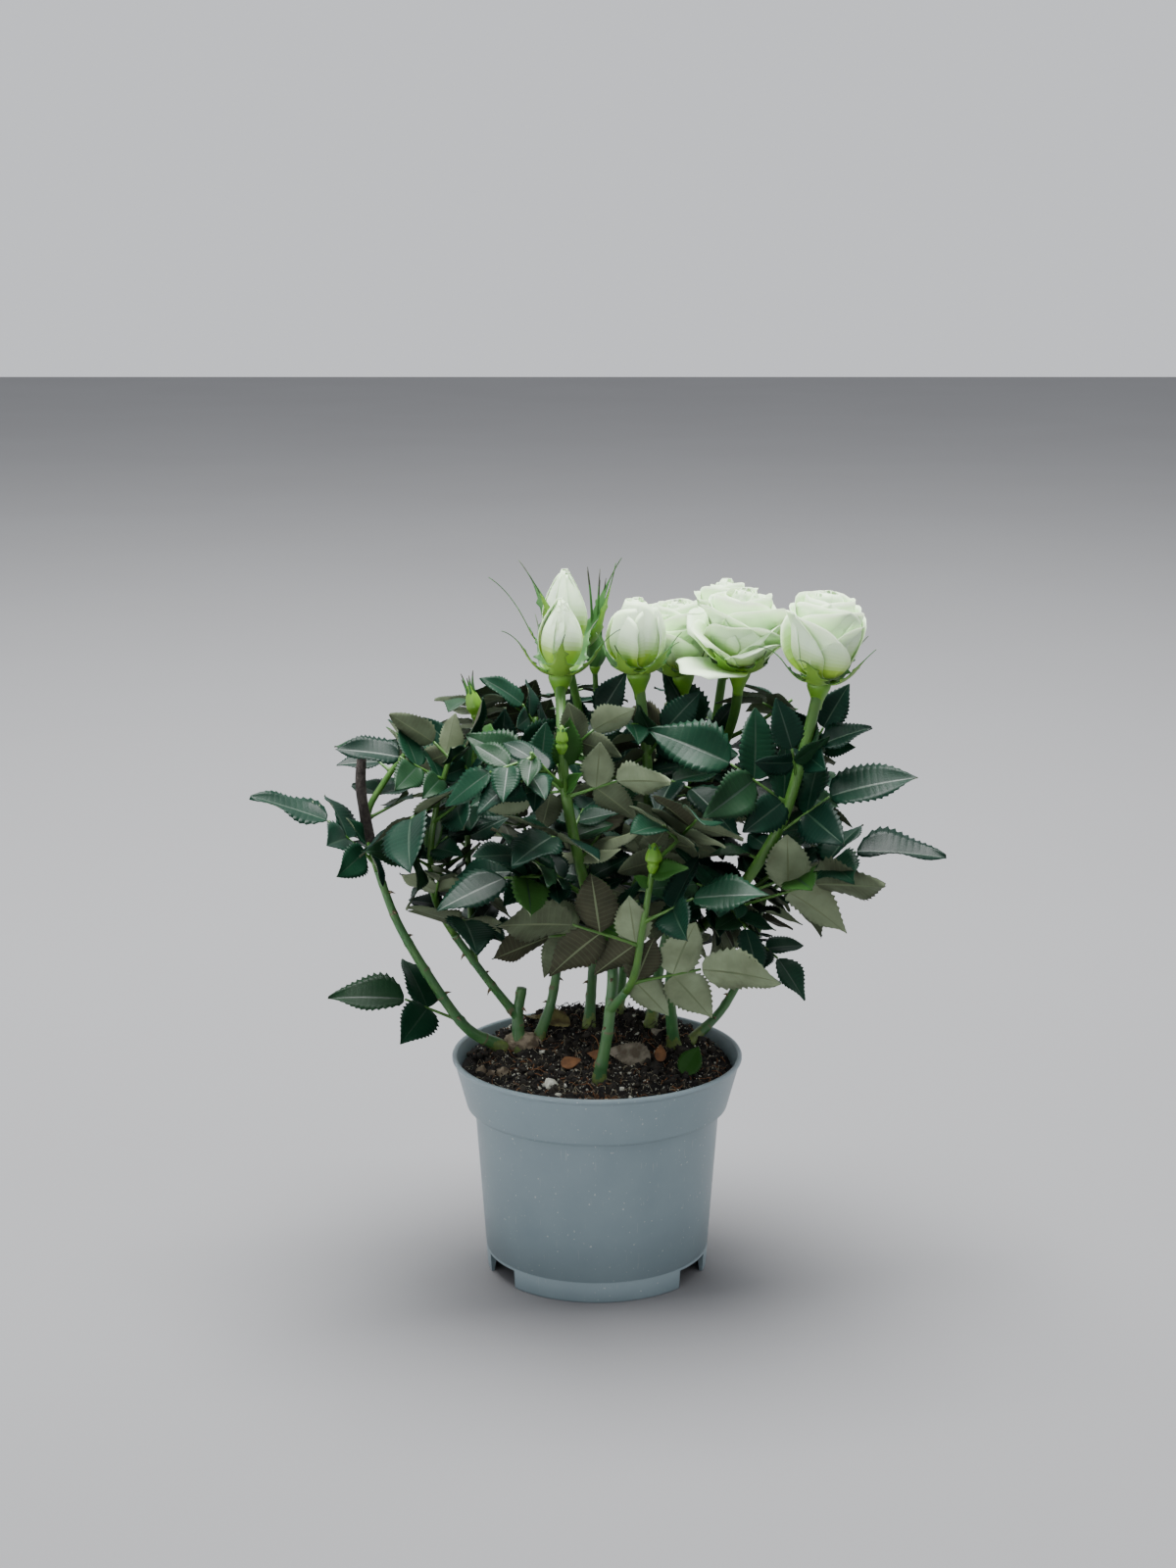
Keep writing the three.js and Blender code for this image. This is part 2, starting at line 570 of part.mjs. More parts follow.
// Green cup under a flower, and the five narrow sepals that spread from it.
function calyx(flower) {
  const cup = [[radii[flower.on](1) * 0.9, -8], [CUP_RADIUS * 0.62, -2], [CUP_RADIUS, 3.5],
    [3.6, CUP_HEIGHT - GAP]];
  const rings = cup.map(([radius, height]) => Array.from({ length: 6 }, (_, side) => (
    inFlower(flower, radius, side * Math.PI / 3, height - CUP_HEIGHT))));
  const pieces = [slab(rings)];
  for (let i = 0; i < 5; i += 1) pieces.push(sepal(flower, radians(72 * i + flower.spin)));
  return pieces;
}

function sepal(flower, turn) {
  const places = [];
  const parts = 12;
  let [radius, height] = [CUP_RADIUS - 1, -2.6];
  for (let i = 0; i <= parts; i += 1) {
    if (i % 4 === 0) places.push(inFlower(flower, radius, turn, height));
    const v = i / parts;
    const beside = Math.min(v * flower.sepal / flower.lengthAt(1), SEPAL_HUG);
    const slope = radians(petalSlope(flower, 1, beside) + SEPAL_LEAN + flower.flare * v * v);
    radius += Math.sin(slope) * flower.sepal / parts;
    height += Math.cos(slope) * flower.sepal / parts;
  }
  const side = new THREE.Vector3(-Math.sin(turn), Math.cos(turn), 0).applyQuaternion(flower.turn);
  const out = new THREE.Vector3(Math.cos(turn), Math.sin(turn), -1).applyQuaternion(flower.turn).normalize();
  const [first, low, high, tip] = places;
  const ring = (middle, half) => [middle.clone().addScaledVector(side, half),
    middle.clone().addScaledVector(out, half / 2), middle.clone().addScaledVector(side, -half)];
  return ringedSolid(first, [ring(low, 3.8), ring(high, 1.8)], tip);
}

// A bud that is still shut in its sepals.
function closedBud(bud) {
  const base = curves[bud.on].getPointAt(1);
  const turn = new THREE.Quaternion().setFromUnitVectors(UP, vector(bud.lean).normalize());
  const profile = [[0.8, -2], [0.75, 1.5], [0.85, 4], [1, 0.36 * bud.tall], [0.45, 0.68 * bud.tall]];
  const rings = profile.map(([share, height], row) => Array.from({ length: 6 }, (_, side) => {
    const radius = row < 2 ? 1.6 + row : bud.half * share;
    const angle = side * Math.PI / 3;
    return new THREE.Vector3(radius * Math.cos(angle), radius * Math.sin(angle), height)
      .applyQuaternion(turn).add(base);
  }));
  const tip = new THREE.Vector3(0, 0, bud.tall).applyQuaternion(turn).add(base);
  return ringedSolid(base.clone().addScaledVector(UP, -2), rings, tip);
}

// Room taken by the flowers and buds.
FLOWERS.forEach(fitFlower);
for (const flower of FLOWERS) {
  for (const share of [0.1, 0.45, 0.8]) {
    const size = flower.half * (share < 0.2 ? 0.6 : 1) + 2;
    balls.push({ centre: inFlower(flower, 0, 0, flower.tall * share), radius: size });
  }
}
for (const bud of CLOSED_BUDS) {
  const base = curves[bud.on].getPointAt(1);
  for (const share of [0.2, 0.6]) {
    const centre = base.clone().addScaledVector(vector(bud.lean), bud.tall * share);
    balls.push({ centre, radius: bud.half + 1 });
  }
}
for (const stem of [...STEMS, ...STALKS]) addBalls(curves[stem.name], radii[stem.name]);
addBalls(curves.dead_stub, radii.dead_stub);

// Leaves: those that show first, then each shoot's own by the rule.
const shoots = {};
STEMS.filter((stem) => stem.bare < 1).forEach((stem) => {
  shoots[stem.name] = { leaves: [], twigs: [] };
});
shoots.low_leaf = { leaves: [], twigs: [] };

for (const [name, share, tip, leaflets, look] of SHOWN_LEAVES) {
  keepLeaf(makeLeaf(curves[name].getPointAt(share), vector(tip), leaflets, vector(look)), shoots[name]);
}
keepLeaf(makeLeaf(curves[LOW_LEAF.on].getPointAt(LOW_LEAF.share), vector(LOW_LEAF.tip), LOW_LEAF.leaflets,
  vector(LOW_LEAF.look)), shoots.low_leaf);
STEMS.forEach((stem, index) => {
  if (stem.bare < 1) growShoot(stem, shoots[stem.name], drawsFrom(index + 1));
});

// Solids of leaves and shoots

// A leaflet of six faces: a flat-sided blade that is thickest on its midrib.
function bladeSolid(blade, sink) {
  const base = blade.base.clone().addScaledVector(blade.along, -sink);
  const [left, tip, right] = [[WIDEST_AT, 1], [1, 0], [WIDEST_AT, -1]].map(([t, u]) => bladePoint(blade, t, u));
  const ridge = bladePoint(blade, WIDEST_AT, 0, LEAFLET_THICKNESS);
  const geometry = new THREE.BufferGeometry().setFromPoints([base, left, tip, right, ridge]);
  geometry.setIndex([0, 1, 4, 1, 2, 4, 2, 3, 4, 3, 0, 4, 0, 2, 1, 0, 3, 2]);
  return turnedOut(geometry);
}

function leafSolids(leaf) {
  const stalk = limb(leaf.stalk, (s) => lerp(RACHIS_RADIUS + 0.15, RACHIS_RADIUS - 0.15, s), 3, 1);
  return [stalk, ...leaf.blades.map((blade, i) => bladeSolid(blade, i === 0 ? 2 : 0))];
}

// The stem's own limb in two stretches, the bare cane and the stem inside the leaves,
// which stand a working gap apart. Widened, they cut what starts on the stem.
function caneLimb(stem, extra = 0) {
  const curve = curves[stem.name];
  const start = stem.from ? 0 : -FOOT_DEPTH / curve.getLength();
  const steps = Math.ceil(curve.getLength() * stem.bare / CANE_STEP);
  return limb(curve, (share) => radii[stem.name](share) + extra, CANE_SIDES, steps, start, stem.bare);
}

function shootLimb(stem, extra = 0) {
  const curve = curves[stem.name];
  const start = stem.bare > 0 ? stem.bare + GAP / curve.getLength() : 0;
  const steps = Math.ceil(curve.getLength() * (1 - start) / SHOOT_STEP);
  return limb(curve, (share) => radii[stem.name](share) + extra, SHOOT_SIDES, steps, start, 1);
}

function widened(name) {
  const stem = STEMS.find((one) => one.name === name);
  const pieces = [];
  if (stem.bare > 0) pieces.push(caneLimb(stem, 1.3 * GAP));
  if (stem.bare < 1) pieces.push(shootLimb(stem, 1.3 * GAP));
  return wasm.Manifold.union(pieces);
}

function shootSolid(stem, shoot) {
  const pieces = [shootLimb(stem)];
  shoot.twigs.forEach((twig) => pieces.push(limb(twig, (s) => lerp(1.2, 0.8, s), 3, 2)));
  shoot.leaves.forEach((leaf) => pieces.push(...leafSolids(leaf)));
  for (const stalk of STALKS.filter((one) => one.on === stem.name)) {
    pieces.push(limb(curves[stalk.name], radii[stalk.name], SHOOT_SIDES, 3));
    carried(stalk.name).forEach((piece) => pieces.push(piece));
  }
  carried(stem.name).forEach((piece) => pieces.push(piece));
  const body = joined(pieces);
  return stem.from && stem.bare === 0 ? joined([body.subtract(widened(stem.from[0]))]) : body;
}

function carried(name) {
  const flower = FLOWERS.find((one) => one.on === name);
  const bud = CLOSED_BUDS.find((one) => one.on === name);
  return [...(flower ? calyx(flower) : []), ...(bud ? [closedBud(bud)] : [])];
}

const materials = {
  pot: new THREE.MeshStandardMaterial({ name: 'grey plastic', color: 0x7d868c, roughness: 0.5, metalness: 0 }),
  soil: new THREE.MeshStandardMaterial({ name: 'peat soil', color: 0x1c1613, roughness: 1, metalness: 0 }),
  bark: new THREE.MeshStandardMaterial({ name: 'green bark', color: 0x3f7a52, roughness: 0.55, metalness: 0 }),
  wood: new THREE.MeshStandardMaterial({ name: 'old wood', color: 0x7a6248, roughness: 0.85, metalness: 0 }),
  dead: new THREE.MeshStandardMaterial({ name: 'dead wood', color: 0x2e2824, roughness: 0.9, metalness: 0 }),
  leaf: new THREE.MeshStandardMaterial({ name: 'leaf', color: 0x1f4a38, roughness: 0.45, metalness: 0 }),
  petal: new THREE.MeshStandardMaterial({ name: 'petal', color: 0xf1f0dc, roughness: 0.6, metalness: 0 }),
};

const rose = new THREE.Group();

function addMesh(name, body, material) {
  const mesh = new THREE.Mesh(geometryOf(body), material);
  mesh.name = name;
  rose.add(mesh);
}

// Inner line of the pot from the floor to the mouth, drawn in by a gap for the soil.
function innerLine(gap) {
  return [
    [FOOT_RADIUS - WALL + 0.6 - gap, FLOOR_Z + WALL + gap],
    [WALL_TOP_RADIUS - WALL - gap, COLLAR_Z + gap],
    [COLLAR_FOOT_RADIUS - WALL - gap, COLLAR_Z + 2 + gap],
  ];
}

// Pot: one turned shell with a collar, three feet between notches and drain holes.
function potSolid() {
  const shell = solid(lathe([
    [0, FLOOR_Z],
    [FOOT_RADIUS - 2 * WALL, FLOOR_Z],
    [FOOT_RADIUS - WALL, 0],
    [FOOT_RADIUS, 0],
    [WALL_TOP_RADIUS, COLLAR_Z - 1],
    [COLLAR_FOOT_RADIUS, COLLAR_Z],
    [RIM_RADIUS - 0.9, POT_HEIGHT - 2.4],
    [RIM_RADIUS, POT_HEIGHT - 1.8],
    [RIM_RADIUS - 0.4, POT_HEIGHT],
    [RIM_RADIUS - 2 * LIP, POT_HEIGHT - 0.6],
    ...innerLine(0).reverse(),
    [0, FLOOR_Z + WALL],
  ], POT_SIDES));
  const cuts = NOTCH_TURNS.flatMap((turn) => [
    notch(turn, FOOT_RADIUS, 12, 0, NOTCH_HEIGHT),
    notch(turn, FOOT_RADIUS - 10, 9, FLOOR_Z, WALL),
  ]);
  return cuts.reduce((body, cut) => body.subtract(cut), shell);
}

// Box that cuts a notch or a drain hole, at a turn round the pot and a distance from its axis.
function notch(turn, radius, deep, low, high) {
  const box = new THREE.BoxGeometry(deep, NOTCH_WIDTH, high + 2);
  box.translate(radius, 0, low + high / 2 - (low === 0 ? 1 : 0)).rotateZ(radians(turn));
  return solid(box);
}

function soilSolid() {
  const rings = SOIL_RINGS.map((share) => [SOIL_RADIUS * share, POT_HEIGHT]);
  const geometry = lathe([
    [0, FLOOR_Z + WALL + GAP],
    ...innerLine(GAP),
    [SOIL_RADIUS - GAP, SOIL_EDGE_Z - 1],
    ...rings,
  ], SOIL_SIDES);
  const place = geometry.attributes.position;
  for (let i = 0; i < place.count; i += 1) {
    if (place.getZ(i) > SOIL_EDGE_Z) place.setZ(i, soilTop(place.getX(i), place.getY(i)));
  }
  return solid(geometry);
}

// Woody lump that the left canes rise from.
function knuckleSolid(extra = 0) {
  const [long, deep, high] = KNUCKLE.size.map((size) => size / 2 + extra);
  return solid(new THREE.SphereGeometry(1, 8, 5).scale(long, deep, high).translate(...KNUCKLE.at));
}

// All that lies below a height, to cut a foot flat.
function below(z) {
  return solid(new THREE.BoxGeometry(300, 300, 60).translate(0, 0, z - 30));
}

function footHeight(stem) {
  return stem.way[0][2] - FOOT_SINK;
}

function caneSolid(stem) {
  const body = caneLimb(stem);
  return joined([body.subtract(stem.from ? widened(stem.from[0]) : below(footHeight(stem)))]);
}

// Socket for a cane's foot, wider and deeper than it by the working gap.
function socket(stem) {
  return caneLimb(stem, 1.3 * GAP).subtract(below(footHeight(stem) - GAP));
}

const groundStems = STEMS.filter((stem) => !stem.from);
const sockets = wasm.Manifold.union(groundStems.map(socket));

addMesh('pot', potSolid(), materials.pot);
addMesh('soil', joined([soilSolid().subtract(sockets).subtract(knuckleSolid(GAP))]), materials.soil);
addMesh('knuckle', joined([knuckleSolid().subtract(sockets)]), materials.wood);
for (const stem of STEMS.filter((one) => one.bare > 0)) {
  addMesh(`cane_${stem.name}`, caneSolid(stem), materials.bark);
}
for (const stem of STEMS.filter((one) => one.bare < 1)) {
  addMesh(`shoot_${stem.name}`, shootSolid(stem, shoots[stem.name]), materials.leaf);
}
const stub = shoots[DEAD_STUB.on].leaves.reduce(
  (body, leaf) => body.subtract(limb(leaf.stalk, () => RACHIS_RADIUS + 2 * GAP, 3, 1)),
  limb(curves.dead_stub, radii.dead_stub, CANE_SIDES, 3).subtract(widened(DEAD_STUB.on)),
);
addMesh('dead_stub', joined([stub]), materials.dead);
const lowLeaf = joined(shoots.low_leaf.leaves.flatMap(leafSolids)).subtract(widened(LOW_LEAF.on));
addMesh('leaf_low', joined([lowLeaf]), materials.leaf);
for (const flower of FLOWERS) addMesh(`petals_${flower.name}`, petals(flower), materials.petal);

export default rose;
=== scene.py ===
# %% [markdown]
# # A miniature white rose in its nursery pot
#
# This lesson dresses a rose bush that stands in a grey 13 cm plastic pot. The frame gives
# the canes, the masses of leaves, the flowers, the soil and the pot as plain solids. The
# lesson puts a finer mesh in the place of each one, and every mesh is worked out from the
# same named sizes, so nothing has to be fitted by hand.

import math

import bpy
import numpy as np
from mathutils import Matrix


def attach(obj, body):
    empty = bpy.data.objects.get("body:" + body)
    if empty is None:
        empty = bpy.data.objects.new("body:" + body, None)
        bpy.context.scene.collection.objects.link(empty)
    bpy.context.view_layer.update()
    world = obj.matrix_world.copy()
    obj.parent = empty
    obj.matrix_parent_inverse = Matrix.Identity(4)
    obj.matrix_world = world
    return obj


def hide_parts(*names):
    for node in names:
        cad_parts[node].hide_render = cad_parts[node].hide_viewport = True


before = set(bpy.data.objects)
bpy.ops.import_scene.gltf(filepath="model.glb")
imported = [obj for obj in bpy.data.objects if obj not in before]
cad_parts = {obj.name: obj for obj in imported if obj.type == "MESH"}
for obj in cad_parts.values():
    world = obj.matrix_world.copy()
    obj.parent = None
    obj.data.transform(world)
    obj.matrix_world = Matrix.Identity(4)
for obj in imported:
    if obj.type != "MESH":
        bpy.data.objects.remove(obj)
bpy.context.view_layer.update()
print("frame:", len(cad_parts), "nodes")

# %% [markdown]
# ## Camera
#
# The camera stands where the photo was taken from: a little over a metre in front of the
# pot, 47 cm above the floor, and tipped down by about 13 degrees. A short lens from close by
# would swell the near leaves, so a lens of 60 mm on a 36 mm frame looks from further away.

# %% Camera
MM = 0.001
CAMERA_PLACE = (-0.00406, -1.1191, 0.4738)
CAMERA_TIP = math.radians(12.662)
LENS = 60
FRAME_WIDTH = 36

camera = bpy.data.objects.new("camera", bpy.data.cameras.new("camera"))
camera.data.lens = LENS
camera.data.sensor_width = FRAME_WIDTH
camera.location = CAMERA_PLACE
camera.rotation_euler = (math.pi / 2 - CAMERA_TIP, 0, 0)
bpy.context.collection.objects.link(camera)
bpy.context.scene.camera = camera
print("camera at", CAMERA_PLACE)

# %% [markdown]
# ## Sizes of the bush
#
# All the sizes are in millimetres. The stems could be drawn by hand in the viewport, but then
# nothing else could be worked out from them. Here each stem is a row of way points, with the
# radius at its foot and at its tip, the share of its length that is bare cane, and the share
# where its leaves stop. A branch starts on its parent, at a share of the parent's length.

# %% Sizes of the pot and the soil
RIM_RADIUS = 65
POT_HEIGHT = 99.2
FOOT_RADIUS = 49.7
COLLAR_Z = 76.3
COLLAR_FOOT_RADIUS = 58.7
WALL_TOP_RADIUS = 55
WALL = 1.4
LIP = 1.1
FLOOR_Z = 9
NOTCH_WIDTH = 22
NOTCH_HEIGHT = 8.5
NOTCH_TURNS = (-150, -30, 90)
SOIL_EDGE_Z = 92.5
SOIL_CROWN = 2
SOIL_HEAP = 14
SOIL_RADIUS = 61
KNUCKLE_PLACE = (-34, 14, 98.6)
KNUCKLE_SIZE = (17, 11, 11)
print("pot:", 2 * RIM_RADIUS, "mm across the rim,", POT_HEIGHT, "mm high")

# %% Stems
STEMS = (
    {"name": "left_stub", "way": ((-35, 12, 97.5), (-36, 13, 111), (-34, 13, 125)), "thick": (2.6, 2.3),
     "bare": 1},
    {"name": "left_long", "way": ((-44.5, 10, 98.5), (-61, 3, 112), (-83, -4, 150), (-93, -6, 174),
                                  (-101, -6, 206), (-93, 0, 224), (-80, 6, 240)),
     "thick": (2.5, 1.2), "bare": 0.62, "leaf_top": 1},
    {"name": "left_inner", "from": ("left_stub", 0.5),
     "way": ((-53, 7, 136), (-70, -2, 166), (-73, -10, 190), (-70, -12, 215), (-63, -8, 240)),
     "thick": (2, 1.1), "bare": 0.36, "leaf_top": 1},
    {"name": "left_bud", "from": ("left_inner", 0.24),
     "way": ((-57, 14, 166), (-58, 20, 200), (-55, 18, 225), (-53, 12, 250)),
     "thick": (1.6, 1.1), "bare": 0, "leaf_top": 0.86},
    {"name": "left_rear", "way": ((-27, 17, 98.9), (-20, 20, 120), (-18, 28, 147), (-24, 46, 182),
                                  (-30, 60, 212), (-28, 62, 240)),
     "thick": (2.3, 1.1), "bare": 0.34, "leaf_top": 1},
    {"name": "back", "way": ((-3.6, 28, 103.5), (-2, 38, 125), (0, 44, 165), (-2, 42, 215), (-13, 20, 274)),
     "thick": (2.3, 1.8), "bare": 0.3, "leaf_top": 0.8},
    {"name": "centre", "way": ((0.7, -26, 94.5), (5, -27, 122), (6, -26, 152), (-5, -36, 185),
                               (-13, -46, 226), (-15, -38, 250), (-16, -14, 270)),
     "thick": (2.5, 2.2), "bare": 0.34, "leaf_top": 0.9},
    {"name": "centre_side", "from": ("centre", 0.17), "way": ((15, -44, 146), (19, -55, 172), (23, -60, 200)),
     "thick": (1.9, 1.3), "bare": 0.22, "leaf_top": 0.25},
    {"name": "centre_right", "from": ("centre", 0.31),
     "way": ((12, -18, 166), (21, -8, 195), (22, -6, 228), (18, -4, 269)),
     "thick": (1.9, 2.4), "bare": 0, "leaf_top": 0.84},
    {"name": "right", "way": ((34.7, 14, 97.9), (33, 6, 131), (40, -6, 152), (61, -20, 179), (78, -29, 210),
                              (87, -28, 239), (94.5, -19, 267.5)),
     "thick": (2.5, 2.4), "bare": 0.32, "leaf_top": 0.86},
    {"name": "right_low", "way": ((44, 20, 98.5), (59, 32, 111), (72, 40, 136), (78, 43, 165), (86, 38, 200),
                                  (99, 34, 235)),
     "thick": (2.1, 1.1), "bare": 0.34, "leaf_top": 1},
    {"name": "back_right",
     "way": ((24.7, 28, 103), (29, 44, 125), (37, 51, 158), (49, 50, 205), (58, 50, 268)),
     "thick": (2.4, 2), "bare": 0.34, "leaf_top": 0.82},
    {"name": "rear", "way": ((10, 39, 105.8), (13, 58, 135), (8, 76, 180), (-6, 80, 236)),
     "thick": (2.2, 1.1), "bare": 0.3, "leaf_top": 1},
)
STALKS = (
    {"name": "side_bud", "from": ("back", 0.62), "way": ((0, 40, 240), (-1, 33, 268)), "thick": (1.4, 1.2)},
    {"name": "left_back", "from": ("back_right", 0.5),
     "way": ((43, 42, 216), (40, 34, 244), (38.5, 30, 262.5)), "thick": (1.7, 2)},
    {"name": "mid", "from": ("back_right", 0.66),
     "way": ((57, 34, 232), (61, 16, 252), (62, 8, 268.5)), "thick": (1.8, 2.4)},
    {"name": "low_bud", "from": ("centre", 0.7),
     "way": ((-15, -54, 244), (-15, -55, 250)), "thick": (1.1, 1)},
)
DEAD_STUB = {"name": "dead_stub", "from": ("left_long", 0.7), "way": ((-103, -9, 222), (-102, -10, 239)),
             "thick": (2.3, 2.1)}
print(len(STEMS), "stems,", len(STALKS), "flower stalks")

# %% Small helpers
def unit(vectors):
    return vectors / np.linalg.norm(vectors, axis=-1, keepdims=True)


def dot(a, b):
    return (a * b).sum(axis=-1)


def lerp(a, b, share):
    """The value at a share of the way from one value to another."""
    return a + (b - a) * share


print("a quarter of the way from 2 to 6:", lerp(2, 6, 0.25))

# %% Curves
CURVE_STEPS = 200
TANGENT_STEP = 1e-4


class Curve:
    """A curve given by a rule for the place at each parameter, walked at an even pace."""

    def __init__(self, rule):
        self.rule = rule
        self.steps = np.linspace(0, 1, CURVE_STEPS + 1)
        pieces = np.linalg.norm(np.diff(rule(self.steps), axis=0), axis=1)
        self.walked = np.concatenate([[0], np.cumsum(pieces)])
        self.length = self.walked[-1]

    def parameter(self, share):
        return np.interp(np.clip(share, 0, 1) * self.length, self.walked, self.steps)

    def at(self, share):
        share = np.asarray(share, float)
        place = self.rule(self.parameter(share))
        start = self.tangent(np.zeros_like(share))
        return place + start * (np.minimum(share, 0) * self.length)[..., None]

    def tangent(self, share):
        middle = self.parameter(share)
        ahead = self.rule(np.minimum(middle + TANGENT_STEP, 1))
        behind = self.rule(np.maximum(middle - TANGENT_STEP, 0))
        return unit(ahead - behind)


def smooth_way(points):
    """A smooth curve through way points, with its two ends carried straight on."""
    way = np.array(points, float)
    whole = np.vstack([2 * way[0] - way[1], way, 2 * way[-1] - way[-2]])

    def rule(parameter):
        walk = np.asarray(parameter, float) * (len(way) - 1)
        first = np.minimum(walk.astype(int), len(way) - 2)
        w = (walk - first)[..., None]
        before, start, end, after = (whole[first + k] for k in range(4))
        leave = (end - before) / 2
        arrive = (after - start) / 2
        return (start + leave * w + (3 * (end - start) - 2 * leave - arrive) * w ** 2
                + (2 * (start - end) + leave + arrive) * w ** 3)

    return Curve(rule)


def bent_line(start, middle, end):
    """A line from start to end that is drawn towards a middle point."""
    def rule(parameter):
        t = np.asarray(parameter, float)[..., None]
        return start * (1 - t) ** 2 + middle * (2 * t * (1 - t)) + end * t ** 2

    return Curve(rule)


bow = smooth_way([(0, 0, 0), (10, 0, 5), (20, 0, 0)])
print("a bow 20 mm wide and 5 mm high is", round(bow.length, 1), "mm long")

# %% The stems as curves, each with its radius
BRANCH_FLARE = 0.2
FOOT_FLARE = 0.4
FLARE_LENGTH = 6

curves = {}
radii = {}


def add_curve(stem):
    parent = stem.get("from")
    way = [list(point) for point in stem["way"]]
    if parent:
        way.insert(0, curves[parent[0]].at(parent[1]))
    curve = smooth_way(way)
    flare = BRANCH_FLARE if parent else FOOT_FLARE
    foot, tip = stem["thick"]

    def radius_at(share):
        return lerp(foot, tip, share) * (1 + flare * np.exp(-share * curve.length / FLARE_LENGTH))

    curves[stem["name"]] = curve
    radii[stem["name"]] = radius_at


for stem in (*STEMS, *STALKS, DEAD_STUB):
    add_curve(stem)
print("longest stem:", round(max(curve.length for curve in curves.values())), "mm")

# %% [markdown]
# ## Flowers and leaves by rule
#
# A rose sets a leaf at each node, and each node turns two fifths round the stem from the one
# below it. Leaves scattered by a particle system would not know of each other and would cut
# through one another. So a rule walks up each shoot and tries a leaf at every node. It keeps
# the first try that stays inside the crown and clear of everything that is already there.
# The same draws give the same bush each time.

# %% Sizes of the flowers and the buds
# Height and half width, how far it is open from 0 to 1, and for its sepals their length, how
# far they bend out and how far round the first one stands, in degrees.
FLOWERS = (
    {"name": "front_bud", "on": "centre", "lean": (0.02, 0, 1), "tall": 31, "half": 8.4, "open": 0,
     "sepal": 32, "flare": 45, "spin": 52},
    {"name": "back_bud", "on": "back", "lean": (-0.05, 0, 1), "tall": 34, "half": 8.4, "open": 0.05,
     "sepal": 48, "flare": 18, "spin": 42},
    {"name": "bloom_left", "on": "centre_right", "lean": (-0.04, 0, 1), "tall": 30, "half": 11.5, "open": 0.3,
     "sepal": 24, "flare": 25, "spin": 20},
    {"name": "bloom_back_left", "on": "left_back", "lean": (-0.1, -0.05, 1), "tall": 31, "half": 16,
     "open": 0.75, "sepal": 22, "flare": 30, "spin": 20},
    {"name": "bloom_middle", "on": "mid", "lean": (0.04, -0.1, 1), "tall": 34, "half": 22, "open": 1,
     "sepal": 24, "flare": 30, "spin": 20},
    {"name": "bloom_back", "on": "back_right", "lean": (0, 0.15, 1), "tall": 31, "half": 16.5, "open": 0.85,
     "sepal": 22, "flare": 30, "spin": 56},
    {"name": "bloom_right", "on": "right", "lean": (0.08, -0.06, 1), "tall": 37, "half": 17.5, "open": 0.6,
     "sepal": 29, "flare": 40, "spin": 40},
)
CLOSED_BUDS = (
    {"on": "left_bud", "lean": (-0.25, 0, 1), "tall": 21, "half": 3.6},
    {"on": "side_bud", "lean": (0.03, 0, 1), "tall": 47, "half": 4.6},
    {"on": "centre_side", "lean": (0.05, 0, 1), "tall": 11, "half": 3.6},
    {"on": "low_bud", "lean": (0, 0, 1), "tall": 10, "half": 2.6},
)
CUP_RADIUS = 5.2
CUP_HEIGHT = 6
print(len(FLOWERS), "flowers with petals,", len(CLOSED_BUDS), "closed buds")

# %% Sizes of the crown and the leaves
CROWN = {"z": 198, "heart": 150, "wide": 116, "deep": 101, "up": 70, "down": 67, "left_rise": 0.27,
         "power": 3}
LEAFLET_MAX = 38
LEAFLET_MIN = 23
END_SHARE = 0.55
LEAFLET_WIDTH = 0.58
OUTLINE_PEAK = 1.405
OUTLINE_BASE = 0.6
OUTLINE_TIP = 0.95
FOLD = 0.22
DROOP = 0.1
ARCH = 0.09
PAIRS = {3: ((0.34, 0.84),), 5: ((0.34, 0.84), (0.78, 0.7))}
PAIR_ANGLE = 64
RACHIS_RADIUS = 0.75
SKYWARD = 0.7
TILT = 1.1
UNDERSIDES = 0.32
FACE_AWAY = -0.7
FACE_OUT = (0.1, 1.1)
NODE_SPACING = 17.6
LEAF_TURN = 144
LEAF_REACH = 64
TWIG_LENGTH = 34
TRIES = 14
CLEAR = 1.45
SAMPLE_ROWS = 12
print("crown:", 2 * CROWN["wide"], "mm wide and", 2 * CROWN["deep"], "mm deep")

# %% Leaves that show
# Which way a leaf's upper side looks. Turned away, its pale underside shows in front.
TO_FRONT = (0, -0.8, 0.6)
TO_SKY = (0, -0.25, 1)
AWAY = (0, 0.85, 0.35)
ASLANT = (0, -0.5, 0.85)

